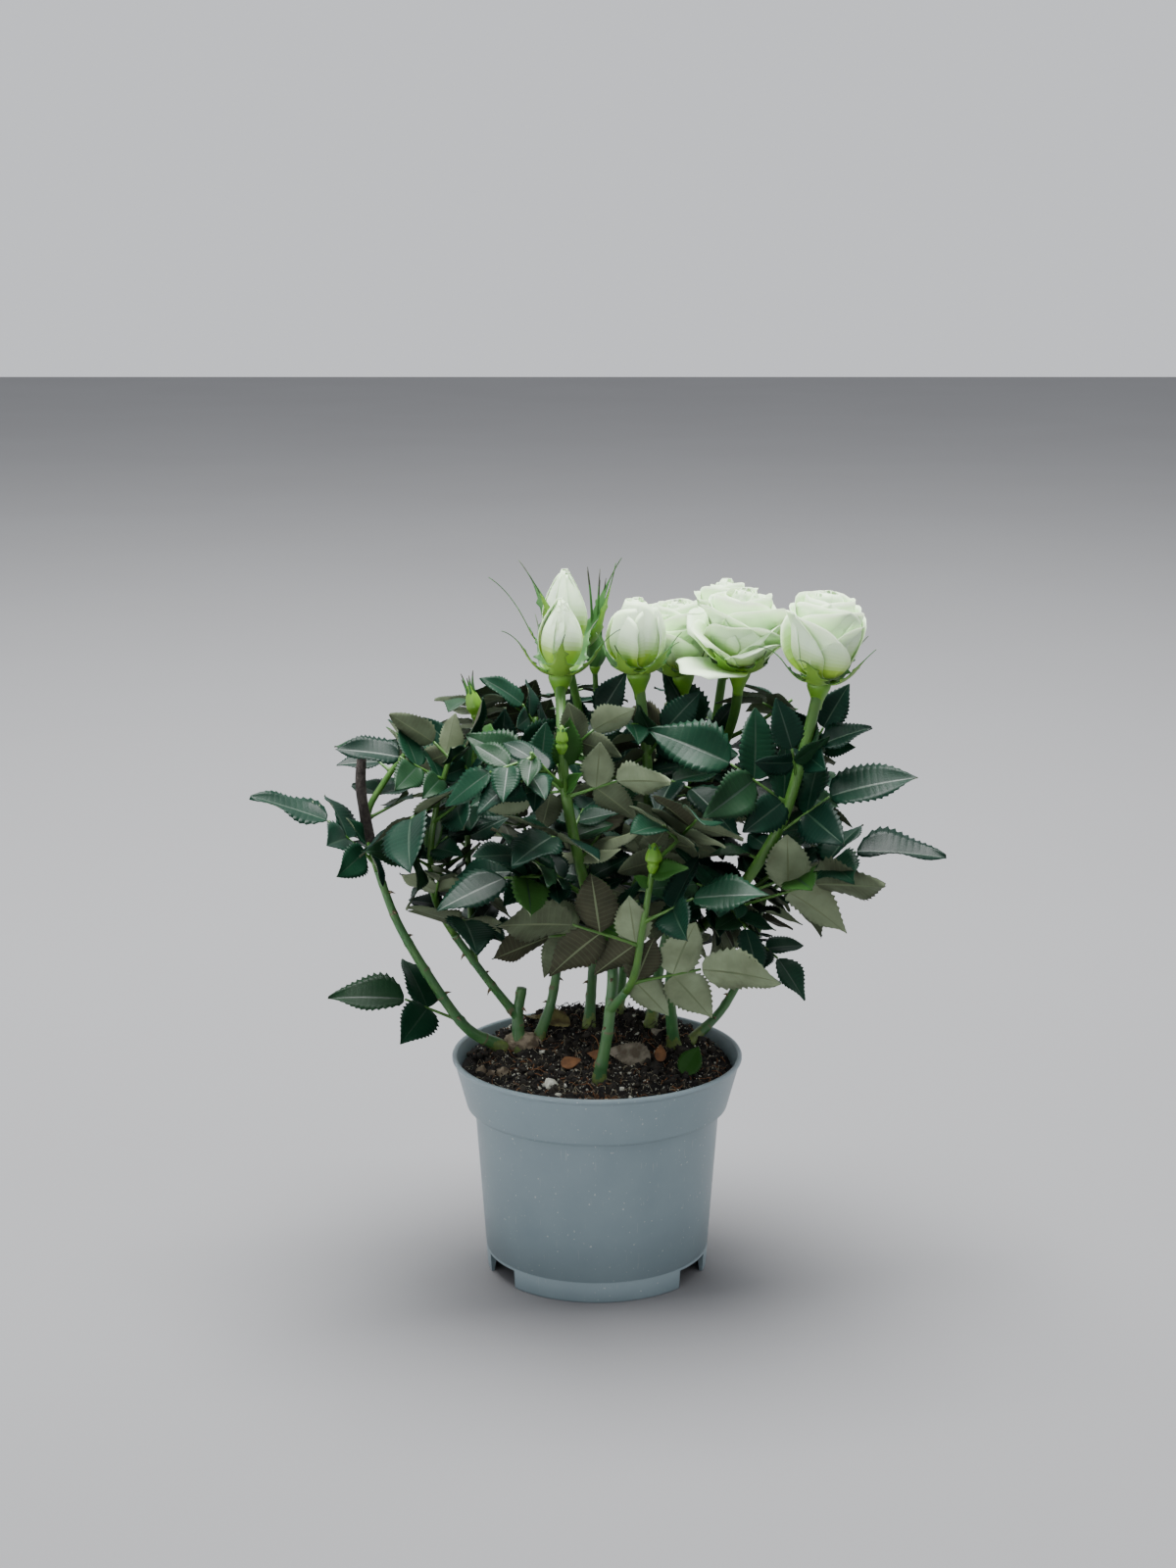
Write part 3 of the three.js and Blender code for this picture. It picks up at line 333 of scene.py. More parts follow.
# Leaves that show in front or reach furthest: stem, share of its length, tip, number of
# leaflets and the way it looks.
SHOWN_LEAVES = (
    ("left_long", 0.64, (-149, -18, 224), 3, TO_SKY),
    ("left_long", 0.9, (-118, 27, 236), 3, TO_SKY),
    ("left_inner", 0.9, (-112, -22, 245), 5, ASLANT),
    ("left_inner", 0.97, (-90, -6, 256), 3, AWAY),
    ("left_inner", 0.5, (-67, -34, 193), 3, AWAY),
    ("left_inner", 0.62, (-98, -40, 204), 3, TO_FRONT),
    ("left_bud", 0.72, (-76, 10, 251), 3, ASLANT),
    ("left_rear", 0.97, (-50, 50, 263), 5, ASLANT),
    ("centre", 0.72, (-56, -40, 254), 3, TO_FRONT),
    ("centre", 0.8, (16, -50, 268), 3, AWAY),
    ("centre", 0.71, (32, -62, 240), 3, AWAY),
    ("centre", 0.6, (-34, -94, 214), 3, ASLANT),
    ("centre", 0.36, (-46, -50, 158), 3, AWAY),
    ("centre_side", 0.56, (-44, -68, 180), 5, AWAY),
    ("centre_side", 0.7, (70, -78, 196), 3, ASLANT),
    ("centre_side", 0.3, (80, -52, 152), 5, AWAY),
    ("centre_right", 0.36, (50, -46, 219), 5, AWAY),
    ("right", 0.74, (22, -32, 256), 5, TO_FRONT),
    ("right", 0.84, (115, -36, 257), 3, ASLANT),
    ("right", 0.8, (76, -42, 268), 3, TO_FRONT),
    ("right", 0.66, (133, -44, 240), 3, ASLANT),
    ("right", 0.47, (149, -38, 203), 5, TO_SKY),
    ("right", 0.42, (122, -58, 193), 3, AWAY),
    ("right_low", 0.97, (112, 28, 262), 3, TO_FRONT),
    ("right_low", 0.36, (96, 22, 117), 3, TO_SKY),
    ("centre_right", 0.72, (43, -16, 267), 3, TO_FRONT),
    ("back_right", 0.72, (31, 24, 268), 3, TO_FRONT),
    ("back", 0.74, (12, 22, 268), 3, TO_FRONT),
)
LOW_LEAF = ("left_long", 0.14, (-119, -10, 131), 3, ASLANT)
UP = np.array([0.0, 0.0, 1.0])
HEART = np.array([0.0, 0.0, CROWN["heart"]])
print(len(SHOWN_LEAVES) + 1, "leaves placed by hand")

# %% Flowers: how a petal bends
PETAL_FOOT = 2
PETAL_PARTS = 24
OUTER_CUT = 0.32


def petal_slope(opened, level, v):
    """Slope of a petal from the flower's axis in degrees, from its base at v 0 to its lip at v 1."""
    foot = lerp(45, 66 + 20 * opened, level)
    belly = lerp(-2, 3 + 17 * opened, level)
    lip = lerp(-30, -28 + 103 * opened, level)
    return foot * (1 - v) * (1 - 2 * v) + belly * 4 * v * (1 - v) + lip * v * (2 * v - 1)


def petal_line(flower, level, length, tilt=0.0):
    """Distances from the axis and heights up the middle of a petal."""
    v = (np.arange(PETAL_PARTS) + 0.5) / PETAL_PARTS
    slope = np.radians(petal_slope(flower["open"], level, v) + tilt)
    step = length / PETAL_PARTS
    spread = lerp(1, flower["spread"], level)
    radius = PETAL_FOOT + np.concatenate([[0], np.cumsum(np.sin(slope))]) * step * spread
    height = np.concatenate([[0], np.cumsum(np.cos(slope))]) * step
    return radius, height


def petal_length(flower, level):
    """The outer petals of an open flower are shorter than the inner ones."""
    return flower["inner"] * (1 - OUTER_CUT * flower["open"] * level * level)


def turned_from_up(axis):
    """The smallest turn that brings straight up onto an axis, as a matrix."""
    axis = unit(np.array(axis, float))
    cross = np.cross(UP, axis)
    grid = np.array([[0, -cross[2], cross[1]], [cross[2], 0, -cross[0]], [-cross[1], cross[0], 0]])
    return np.eye(3) + grid + grid @ grid / (1 + axis[2])


for flower in FLOWERS:
    flower["spread"] = 1
    flower["inner"] = flower["tall"] / petal_line(flower, 0, 1)[1][::2].max()
    widest = petal_line(flower, 1, petal_length(flower, 1))[0][::2].max()
    flower["spread"] = (flower["half"] - PETAL_FOOT) / (widest - PETAL_FOOT)
    flower["base"] = curves[flower["on"]].at(1)
    flower["turn"] = turned_from_up(flower["lean"])


def in_flower(flower, points):
    """Brings points of a flower that stands upright at the origin to its place."""
    return (points + np.array([0, 0, CUP_HEIGHT])) @ flower["turn"].T + flower["base"]


print("petals up to", round(max(flower["inner"] for flower in FLOWERS), 1), "mm long")

# %% One leaflet
SAMPLES_ACROSS = np.arange(-3, 4) / 3
SAMPLE_T = np.repeat(np.arange(1, SAMPLE_ROWS + 1) / SAMPLE_ROWS, len(SAMPLES_ACROSS))
SAMPLE_U = np.tile(SAMPLES_ACROSS, SAMPLE_ROWS)


def half_width(width, t):
    """Half the width of a leaflet at a share of its length, from its base at 0 to its tip."""
    t = np.clip(t, 0, 1)
    return width * OUTLINE_PEAK * t ** OUTLINE_BASE * (1 - t) ** OUTLINE_TIP


def make_blade(base, along, normal, length):
    """A leaflet as its own axes and sizes, with sample points spread over it."""
    flat = unit(normal - along * dot(normal, along))
    across = np.cross(flat, along)
    width = length * LEAFLET_WIDTH

    def place(t, u):
        wide = half_width(width, t)
        rise = FOLD * np.abs(u) * wide - DROOP * length * t * t
        return (base + along * (length * t)[..., None] + across * (u * wide)[..., None]
                + flat * rise[..., None])

    return {"base": base, "along": along, "across": across, "normal": flat, "length": length, "width": width,
            "middle": place(np.array(0.5), np.array(0.0)), "samples": place(SAMPLE_T, SAMPLE_U)}


print("widest part of a leaflet:", round(2 * half_width(LEAFLET_WIDTH, 0.39), 2), "of its length")

# %% What is taken: leaflets and round things
MOST_BLADES = 6000
BALL_STEP = 3
BALL_START = 0.15
NEAR_SHARE = 0.62
ROOT_ROOM = 5
BLADE_ROOM = 0.6
ROD_ROOM = 1.6

blade_count = 0
taken = {key: np.zeros((MOST_BLADES, 3)) for key in ("base", "along", "across", "normal", "middle")}
taken.update({key: np.zeros(MOST_BLADES) for key in ("length", "width")})
taken["samples"] = np.zeros((MOST_BLADES, len(SAMPLE_T), 3))


def inside(points, blade, margin):
    """Which points lie inside leaflets that are grown by a margin. The arrays broadcast."""
    offset = points - blade["base"]
    t = dot(offset, blade["along"]) / blade["length"]
    wide = np.abs(dot(offset, blade["across"]))
    half = half_width(blade["width"], np.clip(t, 0.06, 0.94))
    rise = FOLD * wide - DROOP * blade["length"] * t * t
    away = np.abs(dot(offset, blade["normal"]) - rise)
    return (t >= -0.05) & (t <= 1.05) & (wide <= half + margin) & (away < margin + 0.3)


def picked(index):
    """The taken leaflets of an index, shaped so that each meets a row of points."""
    chosen = {key: taken[key][index][:, None, :] for key in ("base", "along", "across", "normal")}
    chosen.update({key: taken[key][index][:, None] for key in ("length", "width")})
    return chosen


def blade_is_clear(blade, root, clear):
    """Whether a leaflet misses all that is taken. The stem at its leaf's own root doesn't count."""
    reach = blade["length"] * NEAR_SHARE
    apart = np.linalg.norm(taken["middle"][:blade_count] - blade["middle"], axis=1)
    near = np.flatnonzero(apart <= reach + taken["length"][:blade_count] * NEAR_SHARE)
    if len(near):
        if inside(blade["samples"][None], picked(near), clear).any():
            return False
        if inside(taken["samples"][near], blade, clear).any():
            return False
    apart = np.linalg.norm(balls - blade["middle"], axis=1)
    near = (apart <= reach + sizes + 1) & (np.linalg.norm(balls - root, axis=1) >= ROOT_ROOM)
    margins = sizes[near] + BLADE_ROOM
    return not inside(balls[near], blade, margins).any()


def rod_is_clear(points, root, clear):
    """Whether a stalk or a twig through points misses all that is taken."""
    points = points[np.linalg.norm(points - root, axis=1) >= ROOT_ROOM]
    apart = np.linalg.norm(balls[None] - points[:, None], axis=2)
    if (apart <= sizes + ROD_ROOM).any():
        return False
    apart = np.linalg.norm(taken["middle"][:blade_count, None] - points[None], axis=2)
    near = np.flatnonzero((apart <= taken["length"][:blade_count, None]).any(axis=1))
    if not len(near):
        return True
    hit = inside(points[None], picked(near), clear) & (apart[near] <= taken["length"][near, None])
    return not hit.any()


def in_crown(points):
    """Which points lie inside the crown: a squarish ball whose underside rises towards the left."""
    tilt = np.where(points[..., 0] < 0, CROWN["left_rise"] * points[..., 0], 0)
    high = points[..., 2] - CROWN["z"]
    tall = np.where(high > 0, CROWN["up"], CROWN["down"] + tilt)
    power = CROWN["power"]
    return (np.abs(points[..., 0] / CROWN["wide"]) ** power + np.abs(points[..., 1] / CROWN["deep"]) ** power
            + np.abs(high / tall) ** power) < 1


print("room for", MOST_BLADES, "leaflets")

# %% Flowers, buds and stems take their room first
ball_places = []
ball_sizes = []


def add_balls(curve, radius_at):
    share = np.linspace(0, 1, math.ceil(curve.length / BALL_STEP) + 1)
    ball_places.extend(curve.at(share))
    ball_sizes.extend(np.broadcast_to(radius_at(share), share.shape))


for flower in FLOWERS:
    for share in (0.1, 0.45, 0.8):
        ball_places.append(in_flower(flower, np.array([0, 0, flower["tall"] * share])))
        ball_sizes.append(flower["half"] * (0.6 if share < 0.2 else 1) + 2)
for bud in CLOSED_BUDS:
    for share in (0.2, 0.6):
        ball_places.append(curves[bud["on"]].at(1) + np.array(bud["lean"]) * bud["tall"] * share)
        ball_sizes.append(bud["half"] + 1)
for stem in (*STEMS, *STALKS, DEAD_STUB):
    add_balls(curves[stem["name"]], radii[stem["name"]])
balls = np.array(ball_places)
sizes = np.array(ball_sizes)
print(len(balls), "round things to keep clear of")

# %% A leaf
def turned(vectors, axis, angle):
    """Vectors turned about a unit axis by an angle."""
    return (vectors * math.cos(angle) + np.cross(axis, vectors) * math.sin(angle)
            + axis * dot(axis, vectors) * (1 - math.cos(angle)))


def look_of(root, tip, face, tilt):
    """A leaf looks to the sky, out of the crown by its face, and aside by its tilt."""
    outward = unit(lerp(root, tip, 0.6) - HEART)
    aside = unit(np.cross(tip - root, UP))
    return UP * SKYWARD + outward * face + aside * tilt


def make_leaf(root, tip, leaflets, look):
    """A leaf: its stalk runs from root to neck, with leaflets in pairs and one at the end."""
    chord = tip - root
    reach = np.linalg.norm(chord)
    line = chord / reach
    lift = unit(look - line * dot(look, line))
    end = min(max(END_SHARE * reach, LEAFLET_MIN), LEAFLET_MAX)
    share = 1 - end / reach
    neck = root + chord * share + lift * (ARCH * reach * 4 * share * (1 - share))
    end_line = tip - neck
    blades = [make_blade(neck, unit(end_line), lift, np.linalg.norm(end_line))]
    along = unit(neck - root)
    normal = unit(lift - along * dot(lift, along))
    for back, size in PAIRS[leaflets]:
        base = neck - along * back * end
        for angle in (PAIR_ANGLE, -PAIR_ANGLE):
            out = unit(turned(along, normal, math.radians(angle)) + normal * 0.12)
            blades.append(make_blade(base, out, normal, end * size))
    return {"root": root, "neck": neck, "blades": blades}


def keep_leaf(leaf, shoot):
    """Gives a leaf to its shoot, and marks the room that its leaflets and its stalk take."""
    global balls, sizes, blade_count
    for blade in leaf["blades"]:
        for key in taken:
            taken[key][blade_count] = blade[key]
        blade_count += 1
    count = math.ceil(np.linalg.norm(leaf["neck"] - leaf["root"]) / BALL_STEP)
    share = lerp(BALL_START, 1, np.linspace(0, 1, count + 1))[:, None]
    balls = np.vstack([balls, lerp(leaf["root"], leaf["neck"], share)])
    sizes = np.concatenate([sizes, np.full(count + 1, RACHIS_RADIUS)])
    shoot["leaves"].append(leaf)


def leaf_is_clear(leaf, clear):
    rod = lerp(leaf["root"], leaf["neck"], np.linspace(0, 1, 13)[:, None])
    return (all(blade_is_clear(blade, leaf["root"], clear) for blade in leaf["blades"])
            and rod_is_clear(rod, leaf["root"], clear))


def blade_tips(leaf):
    return np.array([blade["base"] + blade["along"] * blade["length"]
                     - blade["normal"] * DROOP * blade["length"] for blade in leaf["blades"]])


print("a large leaf has", 1 + 2 * len(PAIRS[5]), "leaflets")

# %% Trying a leaf
ASIDE_STEP = 24
RISE_STEP = 16
SHORTER_STEP = 0.025


def try_leaf(shoot, root, turn, slope, reach, leaflets, face, tilt):
    """Tries a leaf at several turns, slopes and lengths, and keeps the first that fits."""
    for trial in range(TRIES):
        aside = math.ceil(trial / 2) * (ASIDE_STEP if trial % 2 else -ASIDE_STEP)
        angle = math.radians(turn + aside)
        rise = math.radians(slope + RISE_STEP * ((trial % 3) - 1) * min(trial, 1))
        length = reach * (1 - SHORTER_STEP * trial)
        out = np.array([math.cos(angle) * math.cos(rise), math.sin(angle) * math.cos(rise), math.sin(rise)])
        tip = out * length + root
        leaf = make_leaf(root, tip, leaflets, look_of(root, tip, face, tilt))
        if in_crown(blade_tips(leaf)).all() and leaf_is_clear(leaf, CLEAR):
            keep_leaf(leaf, shoot)
            return


print("up to", TRIES, "tries for each leaf")

# %% The rule that walks up a shoot
TWIG_BALL = 1.1


def draws_from(seed):
    """Even draws between 0 and 1 that are the same for the same seed."""
    state = seed * 40503 & 0xFFFFFFFF

    def draw():
        nonlocal state
        state = (state * 1664525 + 1013904223) & 0xFFFFFFFF
        return state / 4294967296

    return draw


def try_twig(shoot, root, turn, slope, length, draw):
    """A short side twig with a leaf at its tip and one half way."""
    global balls, sizes
    outward = unit(np.array([math.cos(math.radians(turn)), math.sin(math.radians(turn)),
                             math.tan(math.radians(slope))]))
    tip = root + outward * length + UP * length * 0.15
    curve = bent_line(root, root + outward * length / 2, tip)
    points = curve.at(np.linspace(0, 1, 13))
    lean = (draw(), draw())
    if not in_crown(points).all() or not rod_is_clear(points, root, CLEAR):
        return
    shoot["twigs"].append(curve)
    share = lerp(BALL_START, 1, np.linspace(0, 1, math.ceil(curve.length / BALL_STEP) + 1))
    balls = np.vstack([balls, curve.at(share)])
    sizes = np.concatenate([sizes, np.full(len(share), TWIG_BALL)])
    try_leaf(shoot, tip, turn + 40 * (lean[0] - 0.5), 20, LEAF_REACH * 0.8, 5, 0.8, TILT * (lean[1] - 0.5))
    aside = 80 if lean[1] > 0.5 else -80
    half_way = curve.rule(np.array(0.55))
    try_leaf(shoot, half_way, turn + aside, 15, LEAF_REACH * 0.7, 3, 0.8, TILT * (lean[0] - 0.5))


def grow_shoot(stem, shoot, draw):
    """Leaves at every node of a shoot, shorter and steeper towards its tip, and twigs at some."""
    curve = curves[stem["name"]]
    length = curve.length
    bare = stem["bare"]
    turn = 360 * draw()
    count = 0
    s = max(bare, 0.12) + 6 / length
    while s < stem["leaf_top"]:
        turn += LEAF_TURN
        root = curve.at(s)
        size = lerp(1, 0.72, (s - bare) / (1 - bare)) * (0.88 + 0.24 * draw())
        slope = lerp(5, 38, s) + 24 * (draw() - 0.5)
        face = FACE_AWAY if draw() < UNDERSIDES else lerp(*FACE_OUT, draw())
        tilt = TILT * (draw() - 0.5)
        outward = math.degrees(math.atan2(root[1], root[0]))
        sideways = outward + 150 * (draw() - 0.5)
        if count % 3 == 1:
            try_twig(shoot, root, sideways, 25, TWIG_LENGTH * (0.7 + 0.6 * draw()), draw)
        leaflets = 3 if s > 0.75 * stem["leaf_top"] else 5
        try_leaf(shoot, root, turn, slope, LEAF_REACH * size, leaflets, face, tilt)
        count += 1
        s += NODE_SPACING / length


shoots = {stem["name"]: {"leaves": [], "twigs": []} for stem in STEMS if stem["bare"] < 1}
shoots["low_leaf"] = {"leaves": [], "twigs": []}
for shown in (*SHOWN_LEAVES, LOW_LEAF):
    name, share, tip, leaflets, look = shown
    leaf = make_leaf(curves[name].at(share), np.array(tip, float), leaflets, np.array(look))
    keep_leaf(leaf, shoots["low_leaf" if shown is LOW_LEAF else name])
for index, stem in enumerate(STEMS):
    if stem["bare"] < 1:
        grow_shoot(stem, shoots[stem["name"]], draws_from(index + 1))
print("the rule grew", sum(len(shoot["leaves"]) for shoot in shoots.values()), "leaves")

# %% [markdown]
# ## More leaves, by the same rule
#
# The plain solids carry only the leaves that give the crown its shape. The real bush has more
# than twice as many, and they hide most of its inside. More nodes would only crowd the stems,
# so the same leaf is now tried towards points drawn inside the crown, each time from a shoot
# or a twig near by. A leaf is kept under the same terms, only with less room round it, because
# a finer leaf is thinner, and only where it doesn't hide a stem that shows in front.

# %% Places where more leaves may start
BRANCH_STEP = 3


def leafy_places():
    """Places on shoots and twigs where a leaf may start, with the name of each one's shoot."""
    places, names = [], []
    for stem in STEMS:
        if stem["bare"] == 1:
            continue
        curve = curves[stem["name"]]
        low = max(stem["bare"], 0.12) + 4 / curve.length
        walks = [curve.at(np.linspace(low, stem["leaf_top"], int(curve.length * (1 - low) / BRANCH_STEP)))]
        walks += [twig.at(np.linspace(0.3, 1, 8)) for twig in shoots[stem["name"]]["twigs"]]
        for walk in walks:
            places.extend(walk)
            names.extend([stem["name"]] * len(walk))
    return np.array(places), names


print(len(leafy_places()[1]), "places for a leaf to start")

# %% Stems that show in front
STEMS_IN_FRONT = (("centre", 0.42), ("centre_side", 0.1), ("right", 0.55), ("low_bud", 0))
SIGHT_ROOM = 0.004


def on_picture(points):
    """Where the camera sees points, as slopes aside and up, and how far away they are."""
    toward = points - np.array(CAMERA_PLACE) / MM
    ahead = np.array([0, math.cos(CAMERA_TIP), -math.sin(CAMERA_TIP)])
    upward = np.array([0, math.sin(CAMERA_TIP), math.cos(CAMERA_TIP)])
    far = toward @ ahead
    return np.stack([toward[..., 0], toward @ upward], -1) / far[..., None], far


front_stems = [on_picture(curves[name].at(np.linspace(start, 1, 24))) for name, start in STEMS_IN_FRONT]
stem_sight = np.vstack([sight for sight, far in front_stems])
stem_far = np.concatenate([far for sight, far in front_stems])


def hides_front_stem(leaf):
    """Whether any part of a leaf stands between the camera and a stem that shows in front."""
    sight, far = on_picture(np.vstack([blade["samples"][::3] for blade in leaf["blades"]]))
    near = ((stem_sight >= sight.min(0) - SIGHT_ROOM) & (stem_sight <= sight.max(0) + SIGHT_ROOM)).all(1)
    if not near.any():
        return False
    apart = np.abs(sight[:, None] - stem_sight[None, near]).max(2)
    return ((apart < SIGHT_ROOM) & (far[:, None] < stem_far[None, near])).any()


print(len(stem_far), "places on stems to keep in sight")

# %% Leaves that fill the crown
# Each round's draws, the nearest and furthest start of a leaf, and the lowest target, where
# -1 is the bottom of the crown and 1 its top.
FILL_ROUNDS = ((1500, 40, 74, -1), (800, 28, 60, 0.3), (1500, 28, 56, -1), (5000, 20, 44, -1))
FILL_CLEAR = 0.25
FILL_ROOTS = 3

rng = np.random.default_rng(7)


def fill_crown(draws, nearest, furthest, low):
    """Tries leaves towards points drawn above a height, from places between two distances away."""
    places, names = leafy_places()
    box = np.array([CROWN["wide"], CROWN["deep"], (CROWN["up"] + CROWN["down"]) / 2])
    middle = np.array([0, 0, CROWN["z"] + (CROWN["up"] - CROWN["down"]) / 2])
    for target in rng.uniform((-1, -1, low), 1, (draws, 3)) * box + middle:
        if not in_crown(target):
            continue
        away = np.linalg.norm(places - target, axis=1)
        near = np.flatnonzero((away > nearest) & (away < furthest))
        face = FACE_AWAY if rng.random() < UNDERSIDES else rng.uniform(*FACE_OUT)
        for root in rng.permutation(near)[:FILL_ROOTS]:
            look = look_of(places[root], target, face, TILT * (rng.random() - 0.5))
            leaf = make_leaf(places[root], target, 5 if away[root] > 40 else 3, look)
            if (in_crown(blade_tips(leaf)).all() and not hides_front_stem(leaf)
                    and leaf_is_clear(leaf, FILL_CLEAR)):
                keep_leaf(leaf, shoots[names[root]])
                break


for fill_round in FILL_ROUNDS:
    fill_crown(*fill_round)
    print("filled to", sum(len(shoot["leaves"]) for shoot in shoots.values()), "leaves")
print(blade_count, "leaflets in all")

# %% [markdown]
# ## Meshes from arrays
#
# Hundreds of leaflets made one by one as objects, with modifiers for their thickness, would be
# slow. A small grid describes one body, and the places of its points are worked out at once as
# an array. The leaflets of a shoot go into one joined mesh, and every body is closed and has a
# real thickness.

# %% Faces of leaflets, petals and limbs
def sheet_faces(rows, columns):
    """Faces of a closed thin body: a front grid of points, a back grid, and the edge between."""
    grid = np.arange(rows * columns).reshape(rows, columns)
    low, high = grid[:-1], grid[1:]
    front = np.stack([low[:, :-1], low[:, 1:], high[:, 1:], high[:, :-1]], -1).reshape(-1, 4)
    back = front[:, ::-1] + rows * columns
    rim = np.concatenate([grid[0], grid[1:, -1], grid[-1, -2::-1], grid[-2:0:-1, 0]])
    nxt = np.roll(rim, -1)
    edge = np.stack([rim, rim + rows * columns, nxt + rows * columns, nxt], -1)
    return front[:, ::-1], back[:, ::-1], edge[:, ::-1]


def tube_faces(rings, sides):
    """Faces of a closed tube with an even number of sides."""
    grid = np.arange(rings * sides).reshape(rings, sides)
    turn = np.roll(grid, -1, axis=1)
    wall = np.stack([grid[:-1], turn[:-1], turn[1:], grid[1:]], -1).reshape(-1, 4)
    half = np.arange(sides // 2 - 1)
    cap = np.stack([half, half + 1, sides - 2 - half, sides - 1 - half], -1)
    return np.concatenate([wall, cap[:, ::-1], cap + (rings - 1) * sides])


def ring_axes(along, reference):
    """Two directions square to each direction along a limb."""
    side = unit(np.cross(reference, along))
    return side, np.cross(along, side)


print("a sheet of 25 by 6 points has", sum(len(part) for part in sheet_faces(25, 6)), "faces")

# %% Bodies joined into one mesh
class Heap:
    """Bodies that are joined into one mesh, each with the number of its finish."""

    def __init__(self):
        self.points = []
        self.faces = []
        self.finishes = []
        self.count = 0

    def add(self, points, faces, finish=0):
        self.points.append(points)
        self.faces.append(faces + self.count)
        self.finishes.append(np.broadcast_to(finish, len(faces)))
        self.count += len(points)

    def tube(self, places, radius, finish=0, sides=6, ripple=None):
        """A round limb through places, with a radius at each."""
        along = unit(np.gradient(places, axis=0))
        chord = places[-1] - places[0]
        steep = abs(chord[2]) > 0.7 * np.linalg.norm(chord)
        side, across = ring_axes(along, np.array([0.0, 1, 0]) if steep else UP)
        angle = np.arange(sides) * 2 * math.pi / sides
        radius = np.broadcast_to(radius, len(places))[:, None] * np.ones(sides)
        if ripple is not None:
            radius = radius * ripple
        points = (places[:, None] + side[:, None] * (radius * np.cos(angle))[..., None]
                  + across[:, None] * (radius * np.sin(angle))[..., None])
        self.add(points.reshape(-1, 3), tube_faces(len(places), sides), finish)

    def piece(self, name, finishes, nodes=(), slot=None):
        """Makes the Blender object, which stands for the nodes and rides on the pot's body."""
        points = np.concatenate(self.points) * MM
        faces = np.concatenate(self.faces)
        mesh = bpy.data.meshes.new(name)
        mesh.from_pydata(points, [], faces)
        mesh.polygons.foreach_set("material_index", np.concatenate(self.finishes).astype(np.int32))
        mesh.polygons.foreach_set("use_smooth", np.ones(len(faces), bool))
        for finish in finishes:
            mesh.materials.append(finish)
        mesh.update()
        made = bpy.data.objects.new(name, mesh)
        bpy.context.collection.objects.link(made)
        if nodes:
            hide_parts(*nodes)
        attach(made, "root")
        return made


print("bodies in a new heap:", Heap().count)

# %% Smooth unevenness
def ripples(points, size, seed, waves=7):
    """Smooth unevenness between about -1 and 1 over points, with bumps of about a size."""
    own = np.random.default_rng(seed)
    ways = unit(own.normal(size=(waves, 3))) * (2 * math.pi / size * own.uniform(0.6, 1.6, waves))[:, None]
    return np.sin(points @ ways.T + own.uniform(0, 2 * math.pi, waves)).mean(axis=-1) * 1.8


print("unevenness at three places:", ripples(np.eye(3), 2, 5).round(2))

# %% [markdown]
# ## Finishes
#
# Living green, wood, plastic and peat are never one flat colour. A painted picture could show
# that, but it would blur close by, so each finish is made of nodes. Three effects come back
# and are node groups: a mottle that mixes two colours in soft patches, a grain that turns fine
# noise into a surface normal, and specks that can be drawn out into scratches. The shader
# itself, with its gloss, stays in each material. Tints that belong to one leaflet or to one
# end of a petal are finishes of their own, dealt out leaflet by leaflet or row by row.

# %% Helpers for node groups
NUMBER = "NodeSocketFloat"
COLOUR = "NodeSocketColor"


def group_with(name, inputs, outputs):
    group = bpy.data.node_groups.new(name, "ShaderNodeTree")
    for label, kind, value in inputs:
        socket = group.interface.new_socket(label, in_out="INPUT", socket_type=kind)
        socket.default_value = value
    for label, kind in outputs:
        group.interface.new_socket(label, in_out="OUTPUT", socket_type=kind)
    return group, group.nodes.new("NodeGroupInput"), group.nodes.new("NodeGroupOutput")


def noise_node(tree, detail=4):
    """Noise that is laid through the space of the object."""
    place = tree.nodes.new("ShaderNodeTexCoord")
    noise = tree.nodes.new("ShaderNodeTexNoise")
    noise.inputs["Detail"].default_value = detail
    tree.links.new(place.outputs["Object"], noise.inputs["Vector"])
    return noise


def sum_node(tree, operation, clamp=False, **values):
    """A node that works out a sum. The values go to its first, second or third input."""
    node = tree.nodes.new("ShaderNodeMath")
    node.operation = operation
    node.use_clamp = clamp
    for order, value in values.items():
        node.inputs[("first", "second", "third").index(order)].default_value = value
    return node


print("node groups so far:", len(bpy.data.node_groups))

# %% Mottle: two colours in soft patches
def make_mottle():
    """Two colours in soft patches, and the mask that mixes them."""
    group, given, result = group_with(
        "mottle", [("Colour", COLOUR, (0.5, 0.5, 0.5, 1)), ("Other", COLOUR, (0.3, 0.3, 0.3, 1)),
                   ("Scale", NUMBER, 100), ("Sharpness", NUMBER, 2)],
        [("Colour", COLOUR), ("Mask", NUMBER)])
    noise = noise_node(group, 5)
    group.links.new(given.outputs["Scale"], noise.inputs["Scale"])
    centre = sum_node(group, "SUBTRACT", second=0.5)
    group.links.new(noise.outputs["Fac"], centre.inputs[0])
    stretch = sum_node(group, "MULTIPLY_ADD", clamp=True, third=0.5)
    group.links.new(centre.outputs[0], stretch.inputs[0])
    group.links.new(given.outputs["Sharpness"], stretch.inputs[1])
    mix = group.nodes.new("ShaderNodeMix")
    mix.data_type = "RGBA"
    group.links.new(stretch.outputs[0], mix.inputs["Factor"])
    group.links.new(given.outputs["Colour"], mix.inputs["A"])
    group.links.new(given.outputs["Other"], mix.inputs["B"])
    group.links.new(mix.outputs["Result"], result.inputs["Colour"])
    group.links.new(stretch.outputs[0], result.inputs["Mask"])
    return group


mottle = make_mottle()
print("node group:", mottle.name)

